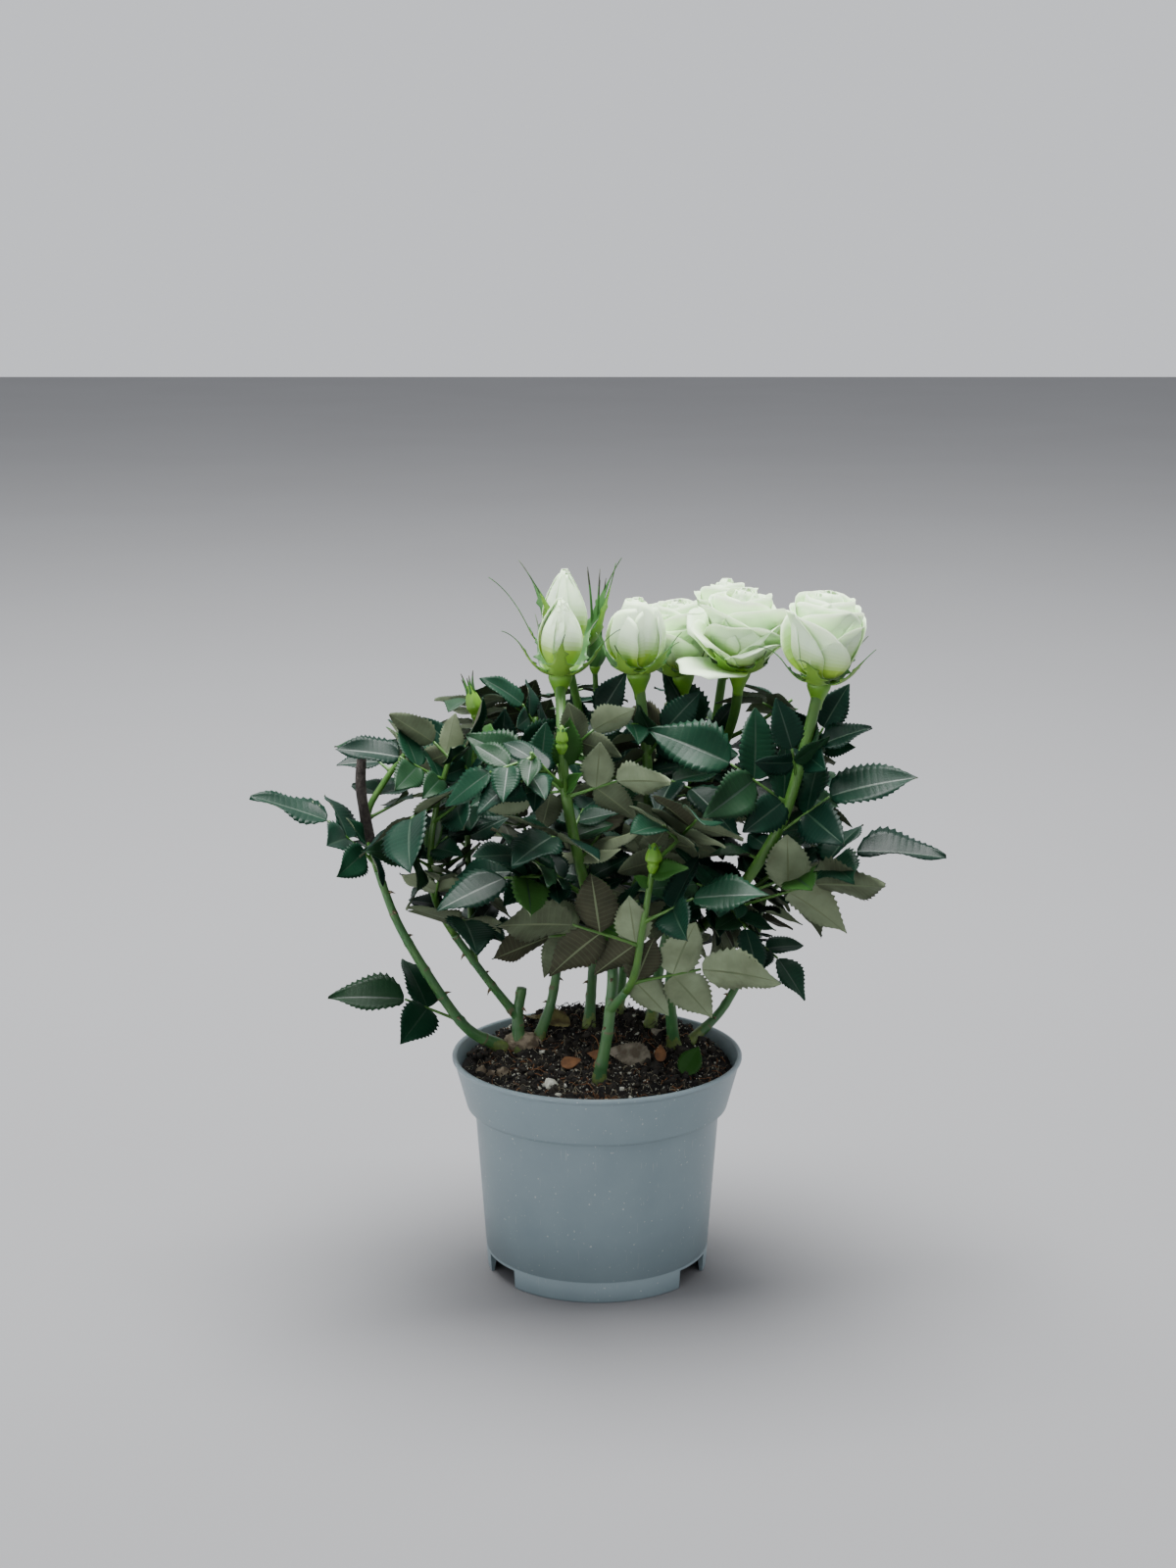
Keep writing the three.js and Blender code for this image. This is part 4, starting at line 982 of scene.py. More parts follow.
# %% Grain: fine unevenness
def make_grain():
    """Fine unevenness as a normal."""
    group, given, result = group_with(
        "grain", [("Scale", NUMBER, 1000), ("Depth", NUMBER, 0.2), ("Reach", NUMBER, 0.0005)],
        [("Normal", "NodeSocketVector")])
    noise = noise_node(group, 6)
    group.links.new(given.outputs["Scale"], noise.inputs["Scale"])
    bump = group.nodes.new("ShaderNodeBump")
    group.links.new(given.outputs["Depth"], bump.inputs["Strength"])
    group.links.new(given.outputs["Reach"], bump.inputs["Distance"])
    group.links.new(noise.outputs["Fac"], bump.inputs["Height"])
    group.links.new(bump.outputs["Normal"], result.inputs["Normal"])
    return group


grain = make_grain()
print("node group:", grain.name)

# %% Specks and scratches
def make_specks():
    """A mask of rare small specks, drawn out upwards into scratches by a stretch above 1."""
    group, given, result = group_with(
        "specks", [("Scale", NUMBER, 800), ("Limit", NUMBER, 0.7), ("Stretch", NUMBER, 1)],
        [("Mask", NUMBER)])
    noise = noise_node(group, 2)
    place = noise.inputs["Vector"].links[0].from_node
    shape = group.nodes.new("ShaderNodeCombineXYZ")
    shape.inputs["X"].default_value = 1
    shape.inputs["Y"].default_value = 1
    shorter = sum_node(group, "DIVIDE", first=1)
    group.links.new(given.outputs["Stretch"], shorter.inputs[1])
    group.links.new(shorter.outputs[0], shape.inputs["Z"])
    drawn_out = group.nodes.new("ShaderNodeVectorMath")
    drawn_out.operation = "MULTIPLY"
    group.links.new(place.outputs["Object"], drawn_out.inputs[0])
    group.links.new(shape.outputs["Vector"], drawn_out.inputs[1])
    group.links.new(drawn_out.outputs["Vector"], noise.inputs["Vector"])
    group.links.new(given.outputs["Scale"], noise.inputs["Scale"])
    over = sum_node(group, "SUBTRACT")
    group.links.new(noise.outputs["Fac"], over.inputs[0])
    group.links.new(given.outputs["Limit"], over.inputs[1])
    edge = sum_node(group, "MULTIPLY", clamp=True, second=40)
    group.links.new(over.outputs[0], edge.inputs[0])
    group.links.new(edge.outputs[0], result.inputs["Mask"])
    return group


specks = make_specks()
print("node group:", specks.name)

# %% A finish from a few numbers
def placed(tree, group, **values):
    node = tree.nodes.new("ShaderNodeGroup")
    node.node_tree = group
    for label, value in values.items():
        node.inputs[label].default_value = value
    return node


def finish(name, colour, other, scale=120, sharpness=2.5, rough=(0.5, 0.6), grain_scale=1500, depth=0.25,
           reach=0.0004, **shader):
    """A mottled, grained material. The gloss is lower where the other colour shows."""
    material = bpy.data.materials.new(name)
    material.use_nodes = True
    tree = material.node_tree
    principled = tree.nodes["Principled BSDF"]
    patches = placed(tree, mottle, Colour=(*colour, 1), Other=(*other, 1), Scale=scale, Sharpness=sharpness)
    tree.links.new(patches.outputs["Colour"], principled.inputs["Base Color"])
    gloss = tree.nodes.new("ShaderNodeMapRange")
    gloss.inputs["To Min"].default_value = rough[0]
    gloss.inputs["To Max"].default_value = rough[1]
    tree.links.new(patches.outputs["Mask"], gloss.inputs["Value"])
    tree.links.new(gloss.outputs["Result"], principled.inputs["Roughness"])
    fine = placed(tree, grain, Scale=grain_scale, Depth=depth, Reach=reach)
    tree.links.new(fine.outputs["Normal"], principled.inputs["Normal"])
    for label, value in shader.items():
        principled.inputs[label.replace("_", " ")].default_value = value
    return material


def add_marks(material, colour, strength, **values):
    """Lays specks or scratches of a colour over the colour that a material has so far."""
    tree = material.node_tree
    target = tree.nodes["Principled BSDF"].inputs["Base Color"]
    mask = placed(tree, specks, **values)
    weaker = sum_node(tree, "MULTIPLY", second=strength)
    tree.links.new(mask.outputs["Mask"], weaker.inputs[0])
    mix = tree.nodes.new("ShaderNodeMix")
    mix.data_type = "RGBA"
    tree.links.new(weaker.outputs[0], mix.inputs["Factor"])
    tree.links.new(target.links[0].from_socket, mix.inputs["A"])
    mix.inputs["B"].default_value = (*colour, 1)
    tree.links.new(mix.outputs["Result"], target)


print("each finish places", mottle.name, "and", grain.name)

# %% Leaf finishes
LEAF_TOPS = (
    ((0.0019, 0.0161, 0.0089), (0.0034, 0.0238, 0.0127)),
    ((0.0030, 0.0229, 0.0110), (0.0051, 0.0323, 0.0153)),
    ((0.0015, 0.0119, 0.0076), (0.0030, 0.0179, 0.0106)),
    ((0.0068, 0.0306, 0.0119), (0.0119, 0.0399, 0.0161)),
    ((0.0170, 0.0697, 0.0102), (0.0289, 0.0892, 0.0170)),
)
TOP_SHARES = (0.3, 0.3, 0.2, 0.16, 0.04)
LEAF_UNDERS = (
    ((0.220, 0.273, 0.167), (0.132, 0.158, 0.092)),
    ((0.101, 0.128, 0.075), (0.055, 0.063, 0.037)),
    ((0.056, 0.055, 0.033), (0.030, 0.032, 0.019)),
)
UNDER_SHARES = (0.3, 0.4, 0.3)


PALE_GREEN = (0.14, 0.20, 0.10)


def lighter(pair, share):
    """Both colours of a pair, brought part of the way to a pale green."""
    return [tuple(c + (pale - c) * share for c, pale in zip(colour, PALE_GREEN)) for colour in pair]


leaf_finishes = []
for side, pairs, paler, look in (
        ("top", LEAF_TOPS, 0.015, {"rough": (0.34, 0.46), "depth": 0.2}),
        ("under", LEAF_UNDERS, 0.12, {"rough": (0.6, 0.7), "depth": 0.3})):
    look.update(scale=90, grain_scale=1800, Specular_IOR_Level=0.12)
    for k, pair in enumerate(pairs):
        leaf_finishes.append(finish(f"leaf_{side}_{k}", *pair, **look))
        leaf_finishes.append(finish(f"leaf_{side}_vein_{k}", *lighter(pair, paler), **look))
leaf_finishes.append(finish("leaf_rib", (0.005, 0.026, 0.012), (0.009, 0.036, 0.016),
                            scale=200, rough=(0.45, 0.55)))
leaf_finishes.append(finish("leaf_rib_under", (0.090, 0.123, 0.054), (0.114, 0.141, 0.066),
                            scale=200, rough=(0.5, 0.6)))
UNDER = 2 * len(LEAF_TOPS)
BRIGHT_LEAF = UNDER - 2
RIB = len(leaf_finishes) - 2
RIB_UNDER = len(leaf_finishes) - 1
print(len(leaf_finishes), "leaf finishes")

# %% Finishes of the stems, the wood and the sepals
stem_green = finish("stem_green", (0.042, 0.135, 0.017), (0.066, 0.165, 0.022), scale=150,
                    rough=(0.4, 0.5), depth=0.15)
stalk_green = finish("stalk_green", (0.090, 0.250, 0.012), (0.130, 0.290, 0.018), scale=150,
                     rough=(0.4, 0.5), depth=0.15)
cane_green = finish("cane_green", (0.036, 0.130, 0.040), (0.062, 0.160, 0.042), scale=110,
                    rough=(0.38, 0.55), grain_scale=900, depth=0.3)
cane_scar = finish("cane_scar", (0.085, 0.100, 0.045), (0.130, 0.125, 0.065), scale=300, rough=(0.7, 0.8))
cane_foot = finish("cane_foot", (0.160, 0.235, 0.050), (0.085, 0.120, 0.040), scale=500, rough=(0.5, 0.6))
prickle = finish("prickle", (0.110, 0.085, 0.040), (0.150, 0.110, 0.055), scale=300, rough=(0.4, 0.5))
old_wood = finish("old_wood", (0.330, 0.270, 0.185), (0.130, 0.100, 0.065), scale=260, sharpness=5,
                  rough=(0.75, 0.9), grain_scale=1200, depth=0.8, reach=0.001)
dead_wood = finish("dead_wood", (0.025, 0.018, 0.015), (0.059, 0.049, 0.042), scale=350, sharpness=5,
                   rough=(0.75, 0.9), grain_scale=1500, depth=0.8, reach=0.001)
sepal_in = finish("sepal_inside", (0.120, 0.270, 0.024), (0.175, 0.330, 0.034), scale=150, rough=(0.55, 0.6))
sepal_out = finish("sepal_outside", (0.024, 0.105, 0.018), (0.044, 0.150, 0.024), scale=150, rough=(0.5, 0.6))
sepal_tip = finish("sepal_tip", (0.021, 0.025, 0.014), (0.042, 0.045, 0.021), scale=150, rough=(0.5, 0.6))
print("finishes so far:", len(bpy.data.materials))

# %% Petal finishes, from lime at the base to white at the lip
PETAL_BASE = np.array([0.34, 0.62, 0.035])
PETAL_LIP = np.array([0.74, 0.99, 0.6])
PETAL_TINTS = 8
PETAL_LOOK = {"scale": 160, "rough": (0.5, 0.6), "grain_scale": 900, "depth": 0.1, "Sheen_Weight": 0.1,
              "Subsurface_Weight": 0.3, "Subsurface_Scale": 0.004, "Subsurface_Radius": (0.8, 1.0, 0.5)}
petal_finishes = []
for k in range(PETAL_TINTS):
    tint = lerp(PETAL_BASE, PETAL_LIP, (k / (PETAL_TINTS - 1)) ** 0.8)
    petal_finishes.append(finish(f"petal_{k}", tuple(tint), tuple(tint * 0.97), **PETAL_LOOK))
print(len(petal_finishes), "petal finishes")

# %% Finishes of the pot, the soil and the floor
CRUMBLY = {"sharpness": 4, "rough": (0.8, 0.95), "grain_scale": 1400, "depth": 1.0}
DRY = {"scale": 260, "sharpness": 4, "rough": (0.7, 0.85), "depth": 0.6}
pot_plastic = finish("pot_plastic", (0.2, 0.264, 0.288), (0.222, 0.29, 0.314), scale=60, rough=(0.34, 0.44),
                     grain_scale=2500, depth=0.08)
add_marks(pot_plastic, (0.55, 0.56, 0.55), 0.8, Scale=650, Limit=0.715)
add_marks(pot_plastic, (0.36, 0.39, 0.40), 0.5, Scale=1500, Limit=0.70, Stretch=22)
peat = finish("peat", (0.005, 0.0042, 0.0036), (0.018, 0.013, 0.010), scale=220, reach=0.0012, **CRUMBLY)
crumb = finish("crumb", (0.006, 0.0052, 0.0045), (0.045, 0.038, 0.028), scale=260, reach=0.001, **CRUMBLY)
perlite = finish("perlite", (0.80, 0.80, 0.70), (0.62, 0.62, 0.50), scale=500, sharpness=4,
                 rough=(0.75, 0.9), grain_scale=1800, depth=0.8, reach=0.0008)
fibre = finish("fibre", (0.280, 0.125, 0.045), (0.130, 0.058, 0.024), scale=300, rough=(0.7, 0.8))
rootlet = finish("rootlet", (0.50, 0.47, 0.33), (0.30, 0.25, 0.16), scale=300, rough=(0.7, 0.8))
dry_leaf = finish("dry_leaf", (0.270, 0.240, 0.180), (0.120, 0.098, 0.066), **DRY)
dry_olive = finish("dry_olive", (0.200, 0.180, 0.060), (0.100, 0.075, 0.030), **DRY)
floor_paint = finish("floor_paint", (0.199, 0.201, 0.206), (0.195, 0.196, 0.201), scale=3,
                     rough=(0.85, 0.9), depth=0.02, Specular_IOR_Level=0.1)
print(len(bpy.data.materials), "finishes in all")

# %% [markdown]
# ## Leaflets
#
# A rose leaflet is an oval with a drawn-out point. Its rim has small teeth that lean
# forward, its side veins run out between the teeth, and the blade swells a little from vein
# to vein. A cut-out picture on a flat card would show the teeth, but not the swell or the
# thickness, so all of this is real shape here. Each tooth takes three rows of a grid: two
# close rows that hold a vein, and one where the blade swells and the rim stands out.

# %% Leaflets
TEETH = 13
TOOTH_ROWS = np.array([0.0, 0.2, 0.66])
QUILT_COLUMN = 0.62
RIB_COLUMN = 0.045
BLADE_COLUMNS = np.array([-1, -QUILT_COLUMN, -RIB_COLUMN, RIB_COLUMN, QUILT_COLUMN, 1])
VEIN_LEAN = 0.10
TOOTH = 0.12
TOOTH_LEAN = 0.014
QUILT = 0.0045
RIB_DEPTH = 0.012
BLADE_THICKNESS = 0.35
FULLER = 1.16
POINT = 0.36

blade_rows = np.append((np.arange(TEETH)[:, None] + TOOTH_ROWS).ravel() / TEETH, 1) * 0.972 + 0.014
swells = np.append(np.tile([0, 0, 1], TEETH), 0)
blade_parts = sheet_faces(len(blade_rows), len(BLADE_COLUMNS))
blade_faces = np.concatenate(blade_parts)


def blade_meshes(blades, own):
    """All leaflets of a list as points, front grids then back grids."""
    count = len(blades)
    fact = {key: np.array([blade[key] for blade in blades])[:, None, None] for key in
            ("base", "along", "across", "normal", "length", "width")}
    length = fact["length"]
    rows = blade_rows[:, None]
    swell = swells[:, None]
    u = BLADE_COLUMNS[None, :]
    bow = np.abs(u)
    rim = bow == 1
    t = rows + np.sin(math.pi * rows) * (VEIN_LEAN * bow * (1 - rows) + TOOTH_LEAN * rim * swell)
    wide = half_width(fact["width"], t) * FULLER * (1 - POINT * t ** 4)
    wide = wide * (1 - rim * TOOTH * (1 - swell) * np.minimum(1, 6 * (1 - rows)))
    draws = own.uniform(0, 1, (5, count, 1, 1))
    fold = FOLD * lerp(0.2, 1.7, draws[0])
    droop = DROOP * lerp(0.5, 2.2, draws[1])
    wave = length * lerp(0.014, 0.046, draws[2])
    phase = 2 * math.pi * draws[3] + np.sign(u) * 2 * draws[4]
    rise = fold * wide * (1.6 * bow - 0.6 * bow ** 2) - droop * length * t * t
    rise = rise + wave * bow ** 2 * np.sin(9 * t + phase)
    relief = QUILT * (2 * swell - 1) * (bow == QUILT_COLUMN) - RIB_DEPTH * (bow == RIB_COLUMN)
    rise = rise + length * np.sin(math.pi * rows) * relief
    points = (fact["base"] + fact["along"] * (length * t)[..., None] + fact["across"] * (u * wide)[..., None]
              + fact["normal"] * rise[..., None])
    down = fact["normal"] * (BLADE_THICKNESS * (1 - 0.5 * rim))[..., None]
    return np.stack([points, points - down], axis=1).reshape(count, -1, 3)


print(len(blade_faces), "faces in a leaflet")

# %% Leaves of each shoot
def add_blades(heap, blades, own):
    """Leaflets with a finish for each one's upper side, underside, veins and rib."""
    strips = len(BLADE_COLUMNS) - 1
    row, strip = np.divmod(np.arange(len(blade_parts[0])), strips)
    vein = (row % 3 == 0).astype(int)
    rib = strip == strips // 2
    for points in blade_meshes(blades, own):
        top = 2 * own.choice(len(LEAF_TOPS), p=TOP_SHARES)
        under = UNDER + 2 * own.choice(len(LEAF_UNDERS), p=UNDER_SHARES)
        which = np.concatenate([np.where(rib, RIB, top + vein), np.where(rib, RIB_UNDER, under + vein),
                                np.full(len(blade_parts[2]), top)])
        heap.add(points, blade_faces, which)


leaf_triangles = 0
for name, shoot in shoots.items():
    own = np.random.default_rng(len(name) * 31 + ord(name[-1]))
    heap = Heap()
    blades = [blade for leaf in shoot["leaves"] for blade in leaf["blades"]]
    add_blades(heap, blades, own)
    node = "leaf_low" if name == "low_leaf" else f"shoot_{name}"
    heap.piece(f"leaves_{name}", leaf_finishes, [node], "leaves")
    leaf_triangles += sum(2 * len(faces) for faces in heap.faces)
print("leaf triangles:", leaf_triangles)

# %% Young leaves, still bright green
# Stem, share of its length, way of the leaflet, its length and its roll in degrees.
YOUNG_LEAVES = (
    ("centre_side", 0.96, (0.85, -0.35, 0.3), 17, 10), ("centre_side", 0.9, (-0.6, -0.3, 0.5), 9, -20),
    ("low_bud", 0.2, (0.35, -0.5, 0.7), 13, 30), ("left_bud", 0.93, (0.3, -0.5, 0.2), 15, 15),
    ("centre", 0.78, (0.15, -0.3, 0.9), 22, 50),
)
young_heap = Heap()
own = np.random.default_rng(31)
for name, share, way, length, roll in YOUNG_LEAVES:
    along = unit(np.array(way, float))
    normal = turned(np.array(ASLANT), along, math.radians(roll))
    blade = make_blade(curves[name].at(share), along, normal, length)
    young_heap.add(blade_meshes([blade], own)[0], blade_faces, 0)
young = young_heap.piece("young_leaves", [leaf_finishes[BRIGHT_LEAF]], slot="leaves")
print("young leaf faces:", len(young.data.polygons))

# %% [markdown]
# ## Stems inside the leaves
#
# Between the leaves run the green shoots, the twigs and the thin stalk of each leaf. Curves
# with a bevel would do, but they would have to be turned into meshes before they could be
# joined. So each limb is a closed tube along its curve, and all of them are one piece.

# %% Shoots, twigs and leaf stalks
TWIG_SIDES = 6
STEM_SIDES = 12
STEM_STEP = 3


def add_leaf_stalk(heap, leaf):
    share = np.linspace(0, 1, 7)
    places = lerp(leaf["root"], leaf["neck"], share[:, None])
    radius = RACHIS_RADIUS * (1 - 0.25 * share) + 0.7 * np.exp(-share * 14)
    heap.tube(places, radius, 0, TWIG_SIDES)


def add_limb(heap, name, start, end, finish=0, sides=STEM_SIDES):
    curve = curves[name]
    count = max(3, int(curve.length * (end - start) / STEM_STEP))
    share = np.linspace(start, end, count)
    heap.tube(curve.at(share), radii[name](np.maximum(share, 0)), finish, sides)


twig_heap = Heap()
for stem in STEMS:
    name = stem["name"]
    if stem["bare"] < 1:
        add_limb(twig_heap, name, stem["bare"], 1)
for stalk in STALKS:
    add_limb(twig_heap, stalk["name"], 0, 1)
for shoot in shoots.values():
    for twig in shoot["twigs"]:
        twig_heap.tube(twig.at(np.linspace(0, 1, 10)), np.linspace(1.3, 0.8, 10), 0, TWIG_SIDES)
    for leaf in shoot["leaves"]:
        add_leaf_stalk(twig_heap, leaf)
twigs = twig_heap.piece("twigs", [stem_green, stalk_green], slot="leaves")
print("twig faces:", len(twigs.data.polygons))

# %% [markdown]
# ## Canes
#
# The bare canes are young green wood. A rose cane isn't a plain rod: it thickens a little at
# each node, where an old leaf has left a pale scar half way round, its bark is faintly
# ribbed lengthways, and short prickles point down. A bump in the material would leave the
# outline smooth, so the relief is in the mesh. The foot of a cane is paler than the rest.

# %% Canes
CANE_SIDES = 20
CANE_STEP = 0.9
NODE_EVERY = 15.0
NODE_SWELL = 0.16
BARK_RIB = 0.02
FOOT_LENGTH = 3
PRICKLE_EVERY = 11.0
PRICKLE_SIZES = (1.6, 2.8)
PALE_FOOT = 3.5


def prickle_places(curve, radius_at, start, end, own):
    """Where each prickle starts on the bark, and the ways out of the cane and along it."""
    for walk in np.arange(start * curve.length + 6, end * curve.length - 3, PRICKLE_EVERY):
        share = (walk + own.uniform(-3, 3)) / curve.length
        along = curve.tangent(share)
        side, across = ring_axes(along, np.array([0.0, 1, 0]))
        turn = own.uniform(0, 2 * math.pi)
        out = side * math.cos(turn) + across * math.sin(turn)
        root = curve.at(share) + out * radius_at(share) * 0.9
        yield root, out, along


def add_prickle(heap, root, out, along, size):
    """A prickle that points down along the cane, bowed like a hook."""
    tip = root + out * size - along * size * 0.5
    places = np.array([root - out * 0.4, lerp(root, tip, 0.45) + along * 0.25, tip])
    heap.tube(places, np.array([1.0, 0.5, 0.06]), 2, TWIG_SIDES)


def add_cane(heap, stem, own):
    name = stem["name"]
    curve = curves[name]
    start = 0 if stem.get("from") else -FOOT_LENGTH / curve.length
    count = max(8, int(curve.length * (stem["bare"] - start) / CANE_STEP))
    share = np.linspace(start, stem["bare"], count)
    walk = share * curve.length
    angle = np.arange(CANE_SIDES) * 2 * math.pi / CANE_SIDES
    phase = own.uniform(0, NODE_EVERY)
    to_node = (walk + phase) % NODE_EVERY - NODE_EVERY / 2
    node = np.exp(-(to_node / 1.3) ** 2)
    facing = own.uniform(0, 2 * math.pi) + np.floor((walk + phase) / NODE_EVERY) * math.radians(LEAF_TURN)
    lean = 0.65 + 0.35 * np.cos(angle[None] - facing[:, None])
    ribs = np.sin(5 * angle + walk[:, None] * 0.05) + 0.6 * np.sin(8 * angle - walk[:, None] * 0.11)
    ripple = 1 + NODE_SWELL * node[:, None] * lean + BARK_RIB * ribs
    heap.tube(curve.at(share), radii[name](np.maximum(share, 0)), 0, CANE_SIDES, ripple)
    wall = (count - 1) * CANE_SIDES
    which = np.zeros(len(heap.faces[-1]), int)
    scar = (np.abs(to_node[:-1]) < 0.5)[:, None] & (np.cos(angle[None] - facing[:-1, None]) > 0.2)
    edge = PALE_FOOT * (1 + 0.4 * np.sin(angle + 6 * own.random()) + 0.3 * np.sin(4 * angle))
    low = (walk[:-1, None] < edge) & (start < 0)
    which[:wall] = np.where(low, 3, scar).ravel()
    heap.finishes[-1] = which
    for root, out, along in prickle_places(curve, radii[name], max(start, 0), stem["bare"], own):
        add_prickle(heap, root, out, along, own.uniform(*PRICKLE_SIZES))


CANE_FINISHES = [cane_green, cane_scar, prickle, cane_foot]
cane_faces = 0
for index, stem in enumerate(STEMS):
    if stem["bare"] > 0:
        heap = Heap()
        add_cane(heap, stem, np.random.default_rng(100 + index))
        made = heap.piece(f"bark_{stem['name']}", CANE_FINISHES, [f"cane_{stem['name']}"], "cane")
        cane_faces += len(made.data.polygons)
print("cane faces:", cane_faces)

# %% [markdown]
# ## Old wood
#
# The left canes rise from a knuckle of old cracked wood, and high on the long one a dead stub
# is left from an earlier pruning. A ball of even faces is easier to make lumpy than one with
# poles, so the knuckle starts as a cube whose points are moved out to one distance.

# %% A round grid
def round_grid(size):
    """A unit ball made from a cube, with size faces along each edge of it."""
    steps = np.linspace(-1, 1, size + 1)
    points, faces = [], []
    for axis in range(3):
        for sign in (-1, 1):
            first, second = np.meshgrid(steps, steps, indexing="ij")
            face = np.empty((size + 1, size + 1, 3))
            face[..., axis] = sign
            face[..., (axis + 1) % 3] = first
            face[..., (axis + 2) % 3] = second
            grid = np.arange((size + 1) ** 2).reshape(size + 1, size + 1) + len(points) * (size + 1) ** 2
            quads = np.stack([grid[:-1, :-1], grid[1:, :-1], grid[1:, 1:], grid[:-1, 1:]], -1).reshape(-1, 4)
            faces.append(quads if sign > 0 else quads[:, ::-1])
            points.append(face.reshape(-1, 3))
    points = np.concatenate(points)
    faces = np.concatenate(faces)
    shared, back = np.unique(np.round(points, 6), axis=0, return_inverse=True)
    return unit(shared), back.ravel()[faces]


print("a ball of three faces to an edge has", len(round_grid(3)[1]), "faces")

# %% The knuckle
knuckle_heap = Heap()
ball, ball_faces = round_grid(14)
knuckle = ball * np.array(KNUCKLE_SIZE) / 2
knuckle = knuckle * (1 + 0.10 * ripples(knuckle, 6, 3) + 0.04 * ripples(knuckle, 1.6, 4))[:, None]
knuckle_heap.add(knuckle + np.array(KNUCKLE_PLACE), ball_faces)
knuckle_piece = knuckle_heap.piece("knuckle_bark", [old_wood], ["knuckle"], "old_wood")
print("knuckle faces:", len(knuckle_piece.data.polygons))

# %% The dead stub
stub_heap = Heap()
share = np.linspace(0, 1, 34)
angle = np.arange(CANE_SIDES) * 2 * math.pi / CANE_SIDES
torn = 1 + 0.07 * np.sin(3 * angle + 4 * share[:, None]) + 0.06 * np.sin(9 * angle - 7 * share[:, None])
torn = torn * (1 - 0.35 * np.maximum(0, share[:, None] - 0.93) / 0.07)
stub_heap.tube(curves["dead_stub"].at(share), radii["dead_stub"](share), 0, CANE_SIDES, torn)
stub_piece = stub_heap.piece("dead_stub_bark", [dead_wood], ["dead_stub"], "dead_wood")
print("stub faces:", len(stub_piece.data.polygons))

# %% [markdown]
# ## Blooms and buds
#
# A double rose grows its petals on a spiral, each turned 137.5 degrees from the one before.
# The inner petals wrap round the heart and close over it, the outer ones open and roll their
# lips out. Petals sculpted one by one would each need care, and a new bud would need them all
# again. Here one rule gives the slope of a petal for its place in the spiral and for how far
# the flower has opened, so the same lines make the tight buds and the full blooms.

# %% The shape of a petal
GOLDEN = math.radians(137.508)
PETAL_ROWS = 17
PETAL_COLUMNS = 15
PETAL_THICKNESS = 0.3
PETAL_WIDTH = 1.5
MOST_WRAP = 2.4
SHUT_UNDER = 0.5
HEART_SHUT = 0.26
SHUT_PULL = 0.82


def sheet_normals(points):
    """Directions square to a grid of points."""
    return unit(np.cross(np.gradient(points, axis=0), np.gradient(points, axis=1)))


def petal_points(flower, level, turn, own, droop=0.0):
    """One petal as a front and a back grid, in a flower that stands upright at the origin."""
    opened = flower["open"]
    curl = level * opened
    length = petal_length(flower, level) * own.uniform(0.92, 1.03)
    radius, height = petal_line(flower, level, length, own.uniform(-2, 13) * curl + droop)
    steps = np.linspace(0, 1, len(radius))
    shut = max(0, 1 - opened / SHUT_UNDER, 1 - level / HEART_SHUT)
    radius = radius * (1 - SHUT_PULL * shut * steps ** 4)
    v = np.linspace(0, 1, PETAL_ROWS)[:, None]
    u = np.linspace(-1, 1, PETAL_COLUMNS)[None, :]
    reach = v * (1 - 0.24 * np.abs(u) ** 3 * v)
    away = np.interp(reach, steps, radius)
    high = np.interp(reach, steps, height)
    wide = PETAL_WIDTH * length * lerp(0.75, 1.08, level) / 2
    wide = wide * (0.3 + 0.7 * np.sin(np.minimum(v / 0.62, 1) * math.pi / 2))
    bend = away * lerp(1.0, 1.0 + 0.3 * opened, level) + 0.8
    angle = np.clip(u * wide / bend, -MOST_WRAP, MOST_WRAP)
    spiral = 1 + lerp(0.12, 0.07, level) * u
    out = (away - bend + bend * np.cos(angle)) * spiral
    along = bend * np.sin(angle) * spiral
    peel = curl * length * np.abs(u) ** 3 * v ** 3
    phase = own.uniform(0, 2 * math.pi, 3)
    out = out + 0.2 * peel + curl * v ** 3 * (1.7 * np.sin(3 * u + phase[0]) + 0.5 * np.sin(8 * u + phase[1]))
    high = high - 0.12 * peel + 0.8 * curl * v ** 4 * np.sin(6 * u + phase[2])
    high = high - 0.7 * v ** 8 * np.exp(-((u - 0.2) / 0.1) ** 2)
    x = out * math.cos(turn) - along * math.sin(turn)
    y = out * math.sin(turn) + along * math.cos(turn)
    front = np.stack([x, y, high + 0 * x], -1)
    thin = PETAL_THICKNESS * (1 - 0.6 * v ** 4)
    back = front + sheet_normals(front) * thin[..., None]
    return np.concatenate([front.reshape(-1, 3), back.reshape(-1, 3)])


petal_parts = sheet_faces(PETAL_ROWS, PETAL_COLUMNS)
petal_faces = np.concatenate(petal_parts)
print(len(petal_faces), "faces in a petal")

# %% The flowers, petal by petal
PETAL_COUNTS = {"front_bud": 9, "back_bud": 9, "bloom_left": 12, "bloom_back_left": 16, "bloom_middle": 19,
                "bloom_back": 16, "bloom_right": 14}
LIME_TO = 0.14
SHUT_LIME = 0.14
DROOPING = {"flower": "bloom_middle", "turn": 205, "droop": 36}


def petal_tints(pale_at, opened):
    """Which of the tints each face of a petal has, from lime at its base to white at a height."""
    row = np.arange(PETAL_ROWS - 1) / (PETAL_ROWS - 1)
    lime_to = LIME_TO + SHUT_LIME * (1 - opened)
    share = np.clip((row - lime_to) / (pale_at - lime_to), 0, 1)
    return np.repeat((share * (PETAL_TINTS - 1)).astype(int), PETAL_COLUMNS - 1)


def add_petal(heap, flower, points, inner, outer):
    edge = np.full(len(petal_parts[2]), PETAL_TINTS - 1)
    heap.add(in_flower(flower, points), petal_faces, np.concatenate([inner, outer, edge]))


